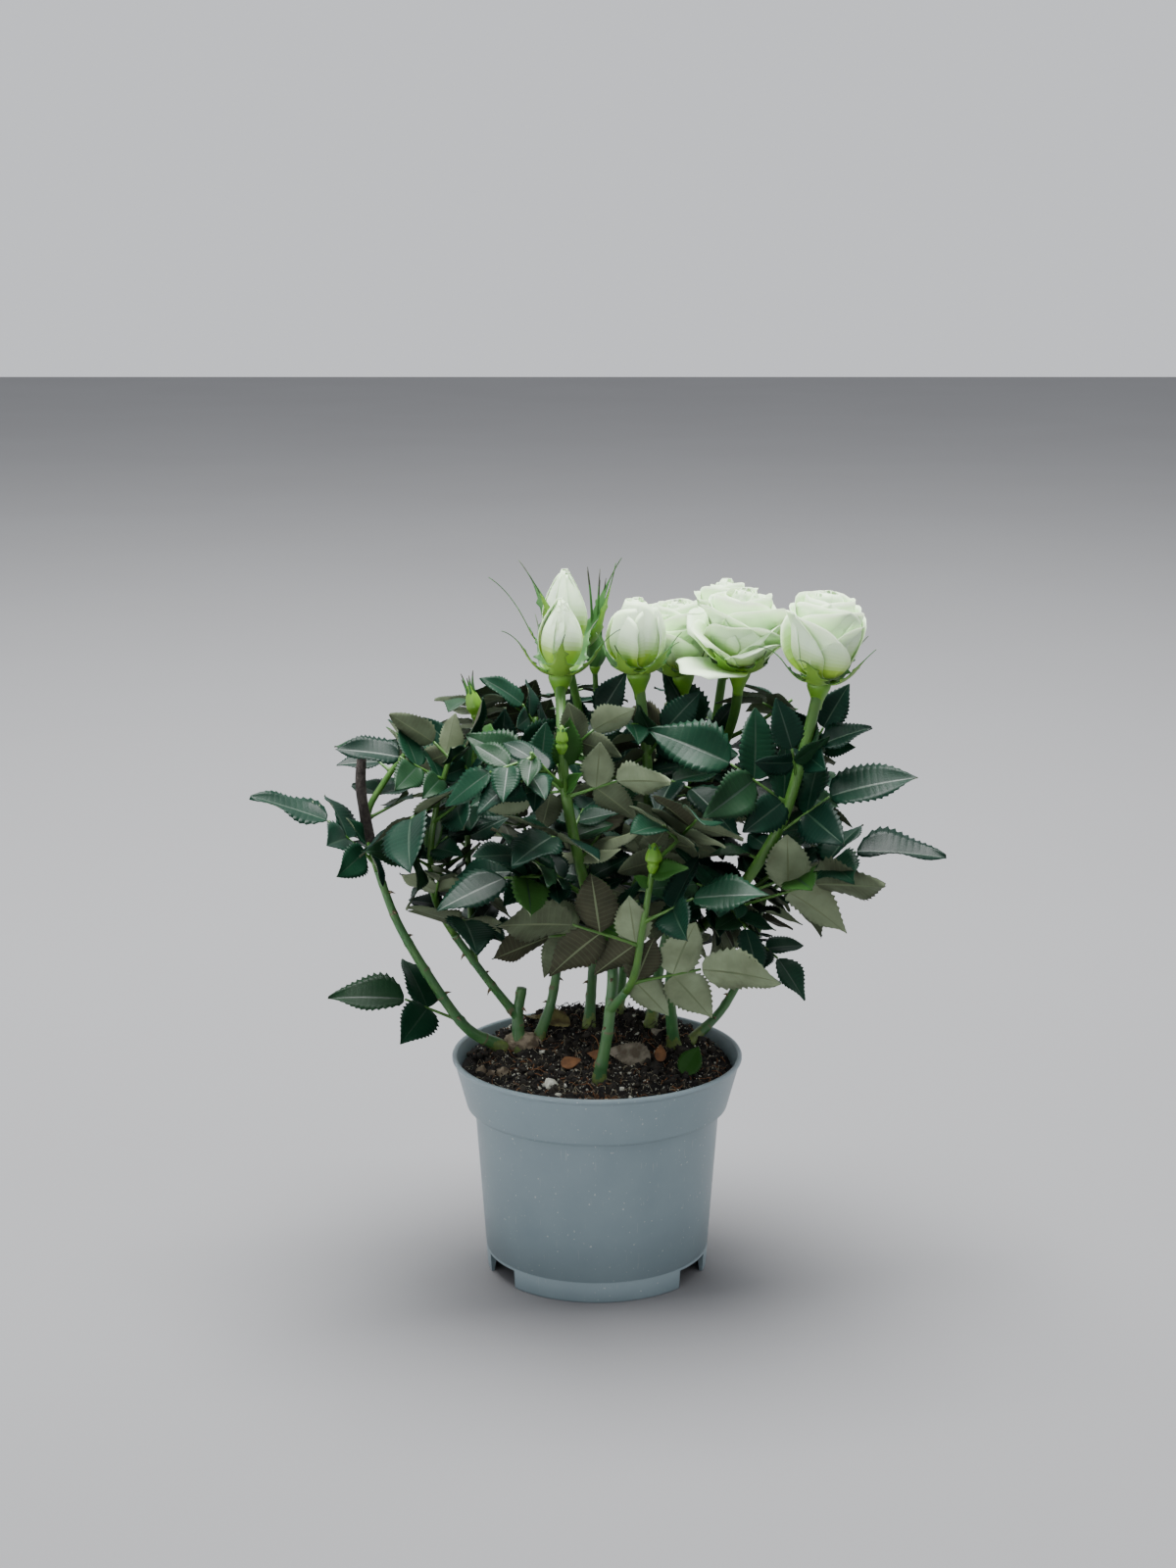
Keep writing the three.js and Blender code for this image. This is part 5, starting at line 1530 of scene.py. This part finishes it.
petal_triangles = 0
for number, flower in enumerate(FLOWERS):
    own = np.random.default_rng(200 + number)
    count = PETAL_COUNTS[flower["name"]]
    heap = Heap()
    for index in range(count):
        level = index / (count - 1)
        turn = index * GOLDEN + own.uniform(-0.08, 0.08)
        inner = petal_tints(lerp(0.45, 0.7, level), flower["open"])
        outer = petal_tints(lerp(0.45, 1.0, level * own.uniform(0.6, 1)), flower["open"])
        add_petal(heap, flower, petal_points(flower, level, turn, own), inner, outer)
    if flower["name"] == DROOPING["flower"]:
        points = petal_points(flower, 1, math.radians(DROOPING["turn"]), own, DROOPING["droop"])
        tints = petal_tints(0.5, 1)
        add_petal(heap, flower, points, tints, tints)
    made = heap.piece(f"bloom_{flower['name']}", petal_finishes, [f"petals_{flower['name']}"], "petals")
    petal_triangles += 2 * len(made.data.polygons)
print("petal triangles:", petal_triangles)

# %% [markdown]
# ## Sepals, cups and closed buds
#
# Under each flower sits a small green cup with five sepals. They are narrow, lime green on
# the inside, darker outside, have a few side teeth, and end in a long thin tip. A sepal
# starts along the petals that it once closed over, so it uses the petals' own slope and then
# bends away. A flat strip bent with a modifier could not follow each flower like that.

# %% The shape of a sepal
SEPAL_ROWS = 24
SEPAL_COLUMNS = np.array([-1, -0.5, 0, 0.5, 1])
SEPAL_HALF = 5.6
SEPAL_HUG = 0.45
SEPAL_LEAN = 10
SEPAL_START = -2.6
SEPAL_THICKNESS = 0.35


def sepal_points(flower, turn, own):
    """One sepal: it hugs the outer petals, then bends out by its own flare and curls."""
    v = np.linspace(0, 1, SEPAL_ROWS)
    beside = np.minimum(v * flower["sepal"] / petal_length(flower, 1), SEPAL_HUG)
    slope = petal_slope(flower["open"], 1, beside) + SEPAL_LEAN + flower["flare"] * v * v
    slope = np.radians(slope + own.uniform(-25, 25) * v ** 3)
    step = flower["sepal"] / (SEPAL_ROWS - 1)
    radius = CUP_RADIUS - 1 + np.concatenate([[0], np.cumsum(np.sin(slope[:-1]))]) * step
    height = SEPAL_START + np.concatenate([[0], np.cumsum(np.cos(slope[:-1]))]) * step
    broad = np.minimum(1, (v + 0.2) / 0.36) * np.maximum(0, 1 - v / 0.78)
    wide = SEPAL_HALF * broad + 0.6 * (1 - v) + 0.12
    tooth = 1 + 0.8 * (np.arange(SEPAL_ROWS) % 5 == 3) * (v > 0.2) * (v < 0.7)
    u = SEPAL_COLUMNS[None, :]
    side = u * (wide * tooth)[:, None]
    wrap = side ** 2 / (2 * radius[:, None] + 2) * (1 - v)[:, None]
    sway = own.uniform(-0.22, 0.22) * flower["sepal"] * v[:, None] ** 2.5
    out = radius[:, None] - wrap * np.cos(slope)[:, None]
    high = height[:, None] + wrap * np.sin(slope)[:, None]
    side = side + sway
    x = out * math.cos(turn) - side * math.sin(turn)
    y = out * math.sin(turn) + side * math.cos(turn)
    front = np.stack([x, y, high + 0 * out], -1)
    back = front + sheet_normals(front) * SEPAL_THICKNESS
    return np.concatenate([front.reshape(-1, 3), back.reshape(-1, 3)])


print(SEPAL_ROWS * len(SEPAL_COLUMNS), "points on each side of a sepal")

# %% Cups and sepals under the flowers
SEPAL_FINISHES = [sepal_in, sepal_out, sepal_tip, stalk_green]
INSIDE, OUTSIDE, TIP, LIME = range(len(SEPAL_FINISHES))
TIP_FROM = 0.8
LIME_UNDER = 0.22


def add_sepal(heap, flower, turn, own):
    parts = sheet_faces(SEPAL_ROWS, len(SEPAL_COLUMNS))
    row = np.repeat(np.linspace(0, 1, SEPAL_ROWS - 1), len(SEPAL_COLUMNS) - 1)
    tip = row > TIP_FROM
    outer = np.where(row < LIME_UNDER, LIME, OUTSIDE)
    edge = np.full(len(parts[2]), OUTSIDE)
    which = np.concatenate([np.where(tip, TIP, INSIDE), np.where(tip, TIP, outer), edge])
    heap.add(in_flower(flower, sepal_points(flower, turn, own)), np.concatenate(parts), which)


def add_turned(heap, profile, place, turn_matrix, finish, sides=24, lobes=0.0):
    """A body turned round an axis from distances and heights, with five soft lobes if asked."""
    radius, height = np.array(profile).T
    angle = np.arange(sides) * 2 * math.pi / sides
    lobed = radius[:, None] * (1 + lobes * np.cos(5 * angle))
    points = np.stack([lobed * np.cos(angle), lobed * np.sin(angle), height[:, None] + 0 * lobed], -1)
    heap.add(points.reshape(-1, 3) @ turn_matrix.T + place, tube_faces(len(profile), sides), finish)


def smooth_profile(profile, count):
    """More places between those of a profile, on a smooth line."""
    line = smooth_way([(radius, height, 0) for radius, height in profile])
    return line.at(np.linspace(0, 1, count))[:, :2]


calyx_heap = Heap()
for number, flower in enumerate(FLOWERS):
    own = np.random.default_rng(300 + number)
    stalk_radius = radii[flower["on"]](1)
    cup = smooth_profile([(stalk_radius * 0.9, -8), (stalk_radius * 1.05, -5), (CUP_RADIUS * 0.68, -2),
                          (CUP_RADIUS * 0.94, 1), (CUP_RADIUS, 3.2), (3.8, CUP_HEIGHT)], 18)
    add_turned(calyx_heap, cup, flower["base"], flower["turn"], LIME)
    for k in range(5):
        add_sepal(calyx_heap, flower, math.radians(72 * k + flower["spin"]), own)
print("cup and sepal bodies:", len(calyx_heap.faces))

# %% Buds that are still shut
BUD_TIPS = 5
BUD_TIP_FACES = np.repeat([OUTSIDE, TIP], [36, 16])
LIME_BUD_UNDER = 30


def add_closed_bud(heap, bud, own):
    """A bud wrapped in its sepals, with their loose tips standing up from it."""
    base = curves[bud["on"]].at(1)
    turn = turned_from_up(bud["lean"])
    tall, half = bud["tall"], bud["half"]
    full = min(tall, 4.2 * half)
    body = smooth_profile([(1.3, -2), (2.2, 0.8), (half * 0.72, 2.4), (half, 0.32 * full),
                           (half * 0.8, 0.6 * full), (half * 0.3, 0.9 * full), (0.15, full * 0.98)], 26)
    add_turned(heap, body, base, turn, LIME if tall < LIME_BUD_UNDER else OUTSIDE, 30, 0.07)
    add_turned(heap, smooth_profile([(1.2, -2.5), (2.0, -1), (2.6, 0.8), (1.8, 2.2)], 10), base, turn, LIME)
    for k in range(BUD_TIPS):
        angle = 2 * math.pi * k / BUD_TIPS + own.uniform(-0.2, 0.2)
        share = np.linspace(0, 1, 9)
        away = lerp(half * 0.45, half * (0.5 + 0.8 * own.random()), share ** 2)
        high = lerp(0.72 * full, tall * own.uniform(0.86, 0.99), share)
        places = np.stack([away * math.cos(angle), away * math.sin(angle), high], -1) @ turn.T + base
        heap.tube(places, lerp(0.8, 0.18, share), BUD_TIP_FACES, TWIG_SIDES)


for number, bud in enumerate(CLOSED_BUDS):
    add_closed_bud(calyx_heap, bud, np.random.default_rng(400 + number))
calyx = calyx_heap.piece("cups_and_sepals", SEPAL_FINISHES, slot="leaves")
print("cup and sepal faces:", len(calyx.data.polygons))

# %% [markdown]
# ## Pot
#
# The pot is moulded from grey plastic: a tapering wall with a fine groove near its foot, a step
# out to a collar, and a rounded lip. Three notches in the foot and the holes behind them let
# water out. Cylinders stacked on each other would leave seams, so one profile is turned round
# the axis, with its small roundings in it, and the notches are cut from it with boxes.

# %% The pot's profile
POT_SIDES = 192
HUB = 0.6
GROOVE_Z = 8.9
GROOVE_DEPTH = 0.25
GROOVE_HEIGHT = 1.3
GROOVE_EDGE = 0.3


def turned_shell(profile, sides):
    """A closed shell turned from a profile that comes back to its start."""
    radius, height = np.array(profile).T
    angle = np.arange(sides) * 2 * math.pi / sides
    points = np.stack([radius[:, None] * np.cos(angle), radius[:, None] * np.sin(angle),
                       height[:, None] + 0 * angle], -1)
    grid = np.arange(points.shape[0] * sides).reshape(-1, sides)
    above = np.roll(grid, -1, axis=0)
    faces = np.stack([grid, np.roll(grid, -1, axis=1), np.roll(above, -1, axis=1), above], -1)
    return points.reshape(-1, 3), faces.reshape(-1, 4)


def wall_radius(z):
    """Radius of the wall's outside below the collar."""
    return lerp(FOOT_RADIUS, WALL_TOP_RADIUS, z / COLLAR_Z)


def groove(z, depth):
    return wall_radius(z) - depth, z


POT_LINE = (
    (HUB, FLOOR_Z), (FOOT_RADIUS - 2 * WALL - 0.6, FLOOR_Z), (FOOT_RADIUS - 2 * WALL, FLOOR_Z - 0.6),
    (FOOT_RADIUS - WALL, 0.15), (FOOT_RADIUS - WALL + 0.2, 0), (FOOT_RADIUS - 0.2, 0), (FOOT_RADIUS, 0.3),
    (FOOT_RADIUS + 0.04, 1),
    groove(GROOVE_Z, 0), groove(GROOVE_Z + GROOVE_EDGE, GROOVE_DEPTH),
    groove(GROOVE_Z + GROOVE_HEIGHT - GROOVE_EDGE, GROOVE_DEPTH), groove(GROOVE_Z + GROOVE_HEIGHT, 0),
    (wall_radius(COLLAR_Z / 2), COLLAR_Z / 2), (WALL_TOP_RADIUS - 0.1, COLLAR_Z - 2.2),
    (WALL_TOP_RADIUS, COLLAR_Z - 1.4), (WALL_TOP_RADIUS + 0.5, COLLAR_Z - 0.8),
    (COLLAR_FOOT_RADIUS - 0.7, COLLAR_Z - 0.3), (COLLAR_FOOT_RADIUS - 0.1, COLLAR_Z + 0.1),
    (COLLAR_FOOT_RADIUS + 0.15, COLLAR_Z + 0.8),
    (lerp(COLLAR_FOOT_RADIUS, RIM_RADIUS - 0.9, 0.5), COLLAR_Z + 10.5),
    (RIM_RADIUS - 1.05, POT_HEIGHT - 3), (RIM_RADIUS - 0.85, POT_HEIGHT - 2.4),
    (RIM_RADIUS - 0.25, POT_HEIGHT - 2.1), (RIM_RADIUS, POT_HEIGHT - 1.6), (RIM_RADIUS, POT_HEIGHT - 0.7),
    (RIM_RADIUS - 0.3, POT_HEIGHT - 0.15), (RIM_RADIUS - 0.9, POT_HEIGHT),
    (RIM_RADIUS - 1.7, POT_HEIGHT - 0.2), (RIM_RADIUS - 2 * LIP, POT_HEIGHT - 0.8),
    (COLLAR_FOOT_RADIUS - WALL + 0.2, COLLAR_Z + 3),
    (COLLAR_FOOT_RADIUS - WALL, COLLAR_Z + 2), (COLLAR_FOOT_RADIUS - WALL - 0.8, COLLAR_Z + 1.5),
    (WALL_TOP_RADIUS - WALL, COLLAR_Z), (FOOT_RADIUS - WALL + 0.6, FLOOR_Z + WALL + 1),
    (FOOT_RADIUS - WALL - 0.6, FLOOR_Z + WALL), (HUB, FLOOR_Z + WALL),
)
print(len(POT_LINE), "points in the pot's profile")

# %% Cutting with boxes
def box_cutter(turn, radius, deep, low, high):
    """A box as wide as a notch, on a radius of the pot, between two heights."""
    bpy.ops.mesh.primitive_cube_add(size=1)
    cutter = bpy.context.active_object
    cutter.scale = (deep * MM, NOTCH_WIDTH * MM, (high - low) * MM)
    place = radius * MM
    cutter.location = (place * math.cos(turn), place * math.sin(turn), (low + high) / 2 * MM)
    cutter.rotation_euler = (0, 0, turn)
    return cutter


def cut(piece, cutters):
    """Cuts boxes from a piece and keeps the result as its mesh."""
    for cutter in cutters:
        boolean = piece.modifiers.new("cut", "BOOLEAN")
        boolean.object = cutter
        boolean.operation = "DIFFERENCE"
        boolean.solver = "EXACT"
    bpy.context.view_layer.update()
    result = bpy.data.meshes.new_from_object(piece.evaluated_get(bpy.context.evaluated_depsgraph_get()))
    piece.modifiers.clear()
    piece.data = result
    for cutter in cutters:
        bpy.data.objects.remove(cutter)


print("notches at", NOTCH_TURNS, "degrees")

# %% The pot
NOTCH_CUT = 12
HOLE_CUT = 9
HOLE_INSET = 10

pot_heap = Heap()
pot_heap.add(*turned_shell(POT_LINE, POT_SIDES))
pot_piece = pot_heap.piece("pot_shell", [pot_plastic], ["pot"], "pot")
cutters = []
for turn in map(math.radians, NOTCH_TURNS):
    cutters.append(box_cutter(turn, FOOT_RADIUS, NOTCH_CUT, -1, NOTCH_HEIGHT))
    cutters.append(box_cutter(turn, FOOT_RADIUS - HOLE_INSET, HOLE_CUT, FLOOR_Z - 1, FLOOR_Z + WALL + 1))
cut(pot_piece, cutters)
print("pot faces:", len(pot_piece.data.polygons))

# %% [markdown]
# ## Soil
#
# Potting soil is dark peat in crumbs, with white grains of perlite and brown fibres in it. It
# is heaped up towards the back. A picture of soil on a flat disc would look flat from low
# down, so the bed is a fine disc with real unevenness.

# %% Soil bed
SOIL_RINGS = 90
SOIL_SPOKES = 240
SOIL_ROUGH = 1.1


def soil_top(x, y):
    """Height of the soil before it is roughened: flat in front, heaped up behind."""
    heap = np.clip((y + 5) / 55, 0, 1)
    heap = heap * heap * (3 - 2 * heap)
    edge = 1 - np.minimum(1, np.hypot(x, y) / SOIL_RADIUS) ** 6
    return SOIL_EDGE_Z + (SOIL_CROWN + SOIL_HEAP * heap) * edge


def soil_surface(x, y):
    """Height of the crumbly surface."""
    flat = np.stack([x, y, 0 * x], -1)
    rough = ripples(flat, 9, 11) + 0.7 * ripples(flat, 3.6, 12) + 0.5 * ripples(flat, 1.7, 13)
    return soil_top(x, y) + SOIL_ROUGH * rough - 0.4


def soil_bed():
    ring = np.linspace(0.003, 1, SOIL_RINGS)[:, None] * (SOIL_RADIUS - 0.3)
    angle = np.arange(SOIL_SPOKES) * 2 * math.pi / SOIL_SPOKES
    x, y = ring * np.cos(angle), ring * np.sin(angle)
    top = np.stack([x, y, soil_surface(x, y)], -1)[::-1]
    low_radius = np.array([SOIL_RADIUS - 2.5, WALL_TOP_RADIUS - WALL - 0.4, FOOT_RADIUS - WALL, 1.0])
    low_height = np.array([COLLAR_Z + 6, COLLAR_Z + 0.4, FLOOR_Z + WALL + 0.4, FLOOR_Z + WALL + 0.4])
    low = np.stack([low_radius[:, None] * np.cos(angle), low_radius[:, None] * np.sin(angle),
                    low_height[:, None] + 0 * angle], -1)
    points = np.concatenate([low[::-1], top])
    return points.reshape(-1, 3), tube_faces(len(points), SOIL_SPOKES)


soil_heap = Heap()
soil_heap.add(*soil_bed())
soil_piece = soil_heap.piece("soil_bed", [peat], ["soil"], "soil")
print("soil faces:", len(soil_piece.data.polygons))

# %% [markdown]
# ## Loose bits on the soil
#
# Crumbs, white grains, small stones, fibres and fine roots lie on the bed. A particle system
# could scatter them, but then they would not be closed bodies in one mesh. So seeded draws
# put a small lumpy ball a little way into the surface, or a thin tube along it, for each one.

# %% Strewing
STREWN_RADIUS = 58.5


def strewn(count, own, radius=STREWN_RADIUS, centre=(0, 0)):
    """Places on the soil, evenly drawn over a disc of it."""
    away = radius * np.sqrt(own.random(count))
    angle = own.uniform(0, 2 * math.pi, count)
    x, y = away * np.cos(angle) + centre[0], away * np.sin(angle) + centre[1]
    return np.stack([x, y, soil_surface(x, y)], -1)


def random_turn(own):
    """A matrix that turns any way."""
    first, second = unit(own.normal(size=(2, 3)))
    across = unit(np.cross(first, second))
    return np.array([first, across, np.cross(first, across)])


def add_grain(heap, shape, place, size, own, finish, lift):
    """A lumpy ball with its middle lifted off the soil by a small share of its size."""
    ball, faces = shape
    lumpy = ball * own.uniform(0.6, 1.25, 3) * (1 + 0.25 * own.normal(size=(len(ball), 1)).clip(-1.5, 1.5))
    heap.add(lumpy @ random_turn(own).T * size / 2 + place + UP * size * lift, faces, finish)


def add_grains(heap, shape, count, small, large, own, finish, lift):
    """Grains strewn over the soil, with far more small ones than large ones."""
    for place in strewn(count, own):
        add_grain(heap, shape, place, lerp(small, large, own.random() ** 3), own, finish, lift)


def add_fibres(heap, places, lengths, radii_between, lift, own, finish):
    """Curved threads that lie on the soil or stand up from it in a low arch."""
    for place in places:
        length = own.uniform(*lengths)
        share = np.linspace(-0.5, 0.5, 7)
        way = own.uniform(0, 2 * math.pi) + own.uniform(-1.6, 1.6) * share
        x = place[0] + length * share * np.cos(way)
        y = place[1] + length * share * np.sin(way)
        if np.hypot(x, y).max() < STREWN_RADIUS + 1:
            high = soil_surface(x, y) + 0.3 + lift * own.random() * (1 - 4 * share ** 2)
            heap.tube(np.stack([x, y, high], -1), own.uniform(*radii_between), finish, 4)


stone_shape, crumb_shape, speck_shape = (round_grid(size) for size in (3, 2, 1))
print("faces in a stone, a crumb and a speck:", len(stone_shape[1]), len(crumb_shape[1]), len(speck_shape[1]))

# %% Crumbs, fibres and fine roots
# Number, radius and middle of the patch, lengths, radii, how high they arch, and finish.
CRUMBS = 2300
FIBRES = (
    (170, STREWN_RADIUS, (0, 0), (3, 13), (0.12, 0.3), 1.2, 1),
    (70, 8, (0, -54), (4, 10), (0.12, 0.22), 1.6, 1),
    (420, STREWN_RADIUS, (0, 0), (1.5, 8), (0.06, 0.13), 1.5, 2),
    (260, 30, (0, 26), (3, 9), (0.10, 0.22), 3.2, 0),
)
crumb_heap = Heap()
own = np.random.default_rng(21)
add_grains(crumb_heap, crumb_shape, CRUMBS, 0.7, 4.2, own, 0, 0.1)
for count, radius, middle, lengths, radii_between, lift, number in FIBRES:
    add_fibres(crumb_heap, strewn(count, own, radius, middle), lengths, radii_between, lift, own, number)
crumbs = crumb_heap.piece("soil_crumbs", [crumb, fibre, rootlet], slot="soil")
print("crumb and fibre faces:", len(crumbs.data.polygons))

# %% White grains and small stones
SPECKS = 2200
PERLITE_GRAINS = 70
WHITE_LUMP = (-20.7, -33.6, 5.8)
STONES = ((-51.5, -12.7, 6.0), (-42.3, -14.5, 5.2), (-47, -19, 3.6))

perlite_heap = Heap()
own = np.random.default_rng(22)
add_grains(perlite_heap, stone_shape, PERLITE_GRAINS, 0.8, 3.2, own, 0, 0.25)
add_grains(perlite_heap, speck_shape, SPECKS, 0.35, 1.2, own, 0, 0.3)
for number, lift, stones in ((0, 0.25, (WHITE_LUMP,)), (1, 0.2, STONES)):
    for x, y, size in stones:
        place = np.array([x, y, soil_surface(x, y)])
        add_grain(perlite_heap, stone_shape, place, size, own, number, lift)
perlite_piece = perlite_heap.piece("perlite_grains", [perlite, old_wood], slot="soil")
print("white grain and stone faces:", len(perlite_piece.data.polygons))

# %% Leaves that have fallen on the soil
# Place, length, heading, rise and roll in degrees, and finish: grey, olive, green or brown.
FALLEN = (
    (24, -2, 21, 168, 14, -38, 0), (-12, 24, 17, 185, 16, -30, 1), (38, -20, 17, 55, 38, 30, 2),
    (-16, -12, 10, 20, 14, 40, 3), (4, 0, 9, 170, 16, -40, 3), (28, -6, 9, 80, 50, 20, 3),
    (30, 22, 12, 250, 16, 15, 0), (-34, 34, 14, 300, 14, -15, 1), (-2, -10, 9, 340, 15, 35, 3),
)
FALLEN_LIFT = 2
FALLEN_FINISHES = [dry_leaf, dry_olive, leaf_finishes[BRIGHT_LEAF], fibre]
fallen_heap = Heap()
own = np.random.default_rng(23)
for x, y, length, heading, rise, roll, number in FALLEN:
    heading, rise = math.radians(heading), math.radians(rise)
    along = np.array([math.cos(heading) * math.cos(rise), math.sin(heading) * math.cos(rise), math.sin(rise)])
    place = np.array([x, y, soil_surface(x, y) + FALLEN_LIFT])
    blade = make_blade(place, along, turned(UP, along, math.radians(roll)), length)
    fallen_heap.add(blade_meshes([blade], own)[0], blade_faces, number)
fallen = fallen_heap.piece("fallen_leaves", FALLEN_FINISHES, slot="soil")
print("fallen leaf faces:", len(fallen.data.polygons))

# %% [markdown]
# ## Floor and light
#
# The pot stands on a pale matt floor. A single lamp would leave hard shadows and black gaps
# between the leaves. So a soft window stands high in front on the left, a wide panel hangs
# above and behind, a faint fill stands on the right, and the room itself is bright. The
# shadows are soft and fall to the right.

# %% Floor
FLOOR_SIZE = 12
bpy.ops.mesh.primitive_plane_add(size=FLOOR_SIZE, location=(0, 0, 0))
floor = bpy.context.active_object
floor.name = "floor"
floor.data.materials.append(floor_paint)
print("floor:", FLOOR_SIZE, "m square")

# %% Light
# Name, place and size in metres, and power in watts.
WINDOWS = (
    ("window_left", (-1.3, -1.0, 1.3), 0.7, 2350),
    ("fill_right", (1.6, -1.1, 1.0), 1.4, 14),
    ("sky_top", (-0.1, 0.4, 2.2), 1.6, 200),
)
WINDOW_TARGET = np.array([0, 0, 0.17])
ROOM_COLOUR = (0.93, 0.95, 1.0, 1)
ROOM_STRENGTH = 0.85


def add_window(name, place, size, power):
    light = bpy.data.lights.new(name, "AREA")
    light.energy = power
    light.size = size
    lamp = bpy.data.objects.new(name, light)
    lamp.location = place
    aim = WINDOW_TARGET - np.array(place)
    lamp.rotation_euler = (math.acos(-aim[2] / np.linalg.norm(aim)), 0, math.atan2(aim[0], -aim[1]))
    bpy.context.collection.objects.link(lamp)


for window in WINDOWS:
    add_window(*window)
world = bpy.data.worlds.new("room")
bpy.context.scene.world = world
world.use_nodes = True
room_light = world.node_tree.nodes["Background"]
room_light.inputs["Color"].default_value = ROOM_COLOUR
room_light.inputs["Strength"].default_value = ROOM_STRENGTH
print("lights:", [window[0] for window in WINDOWS])
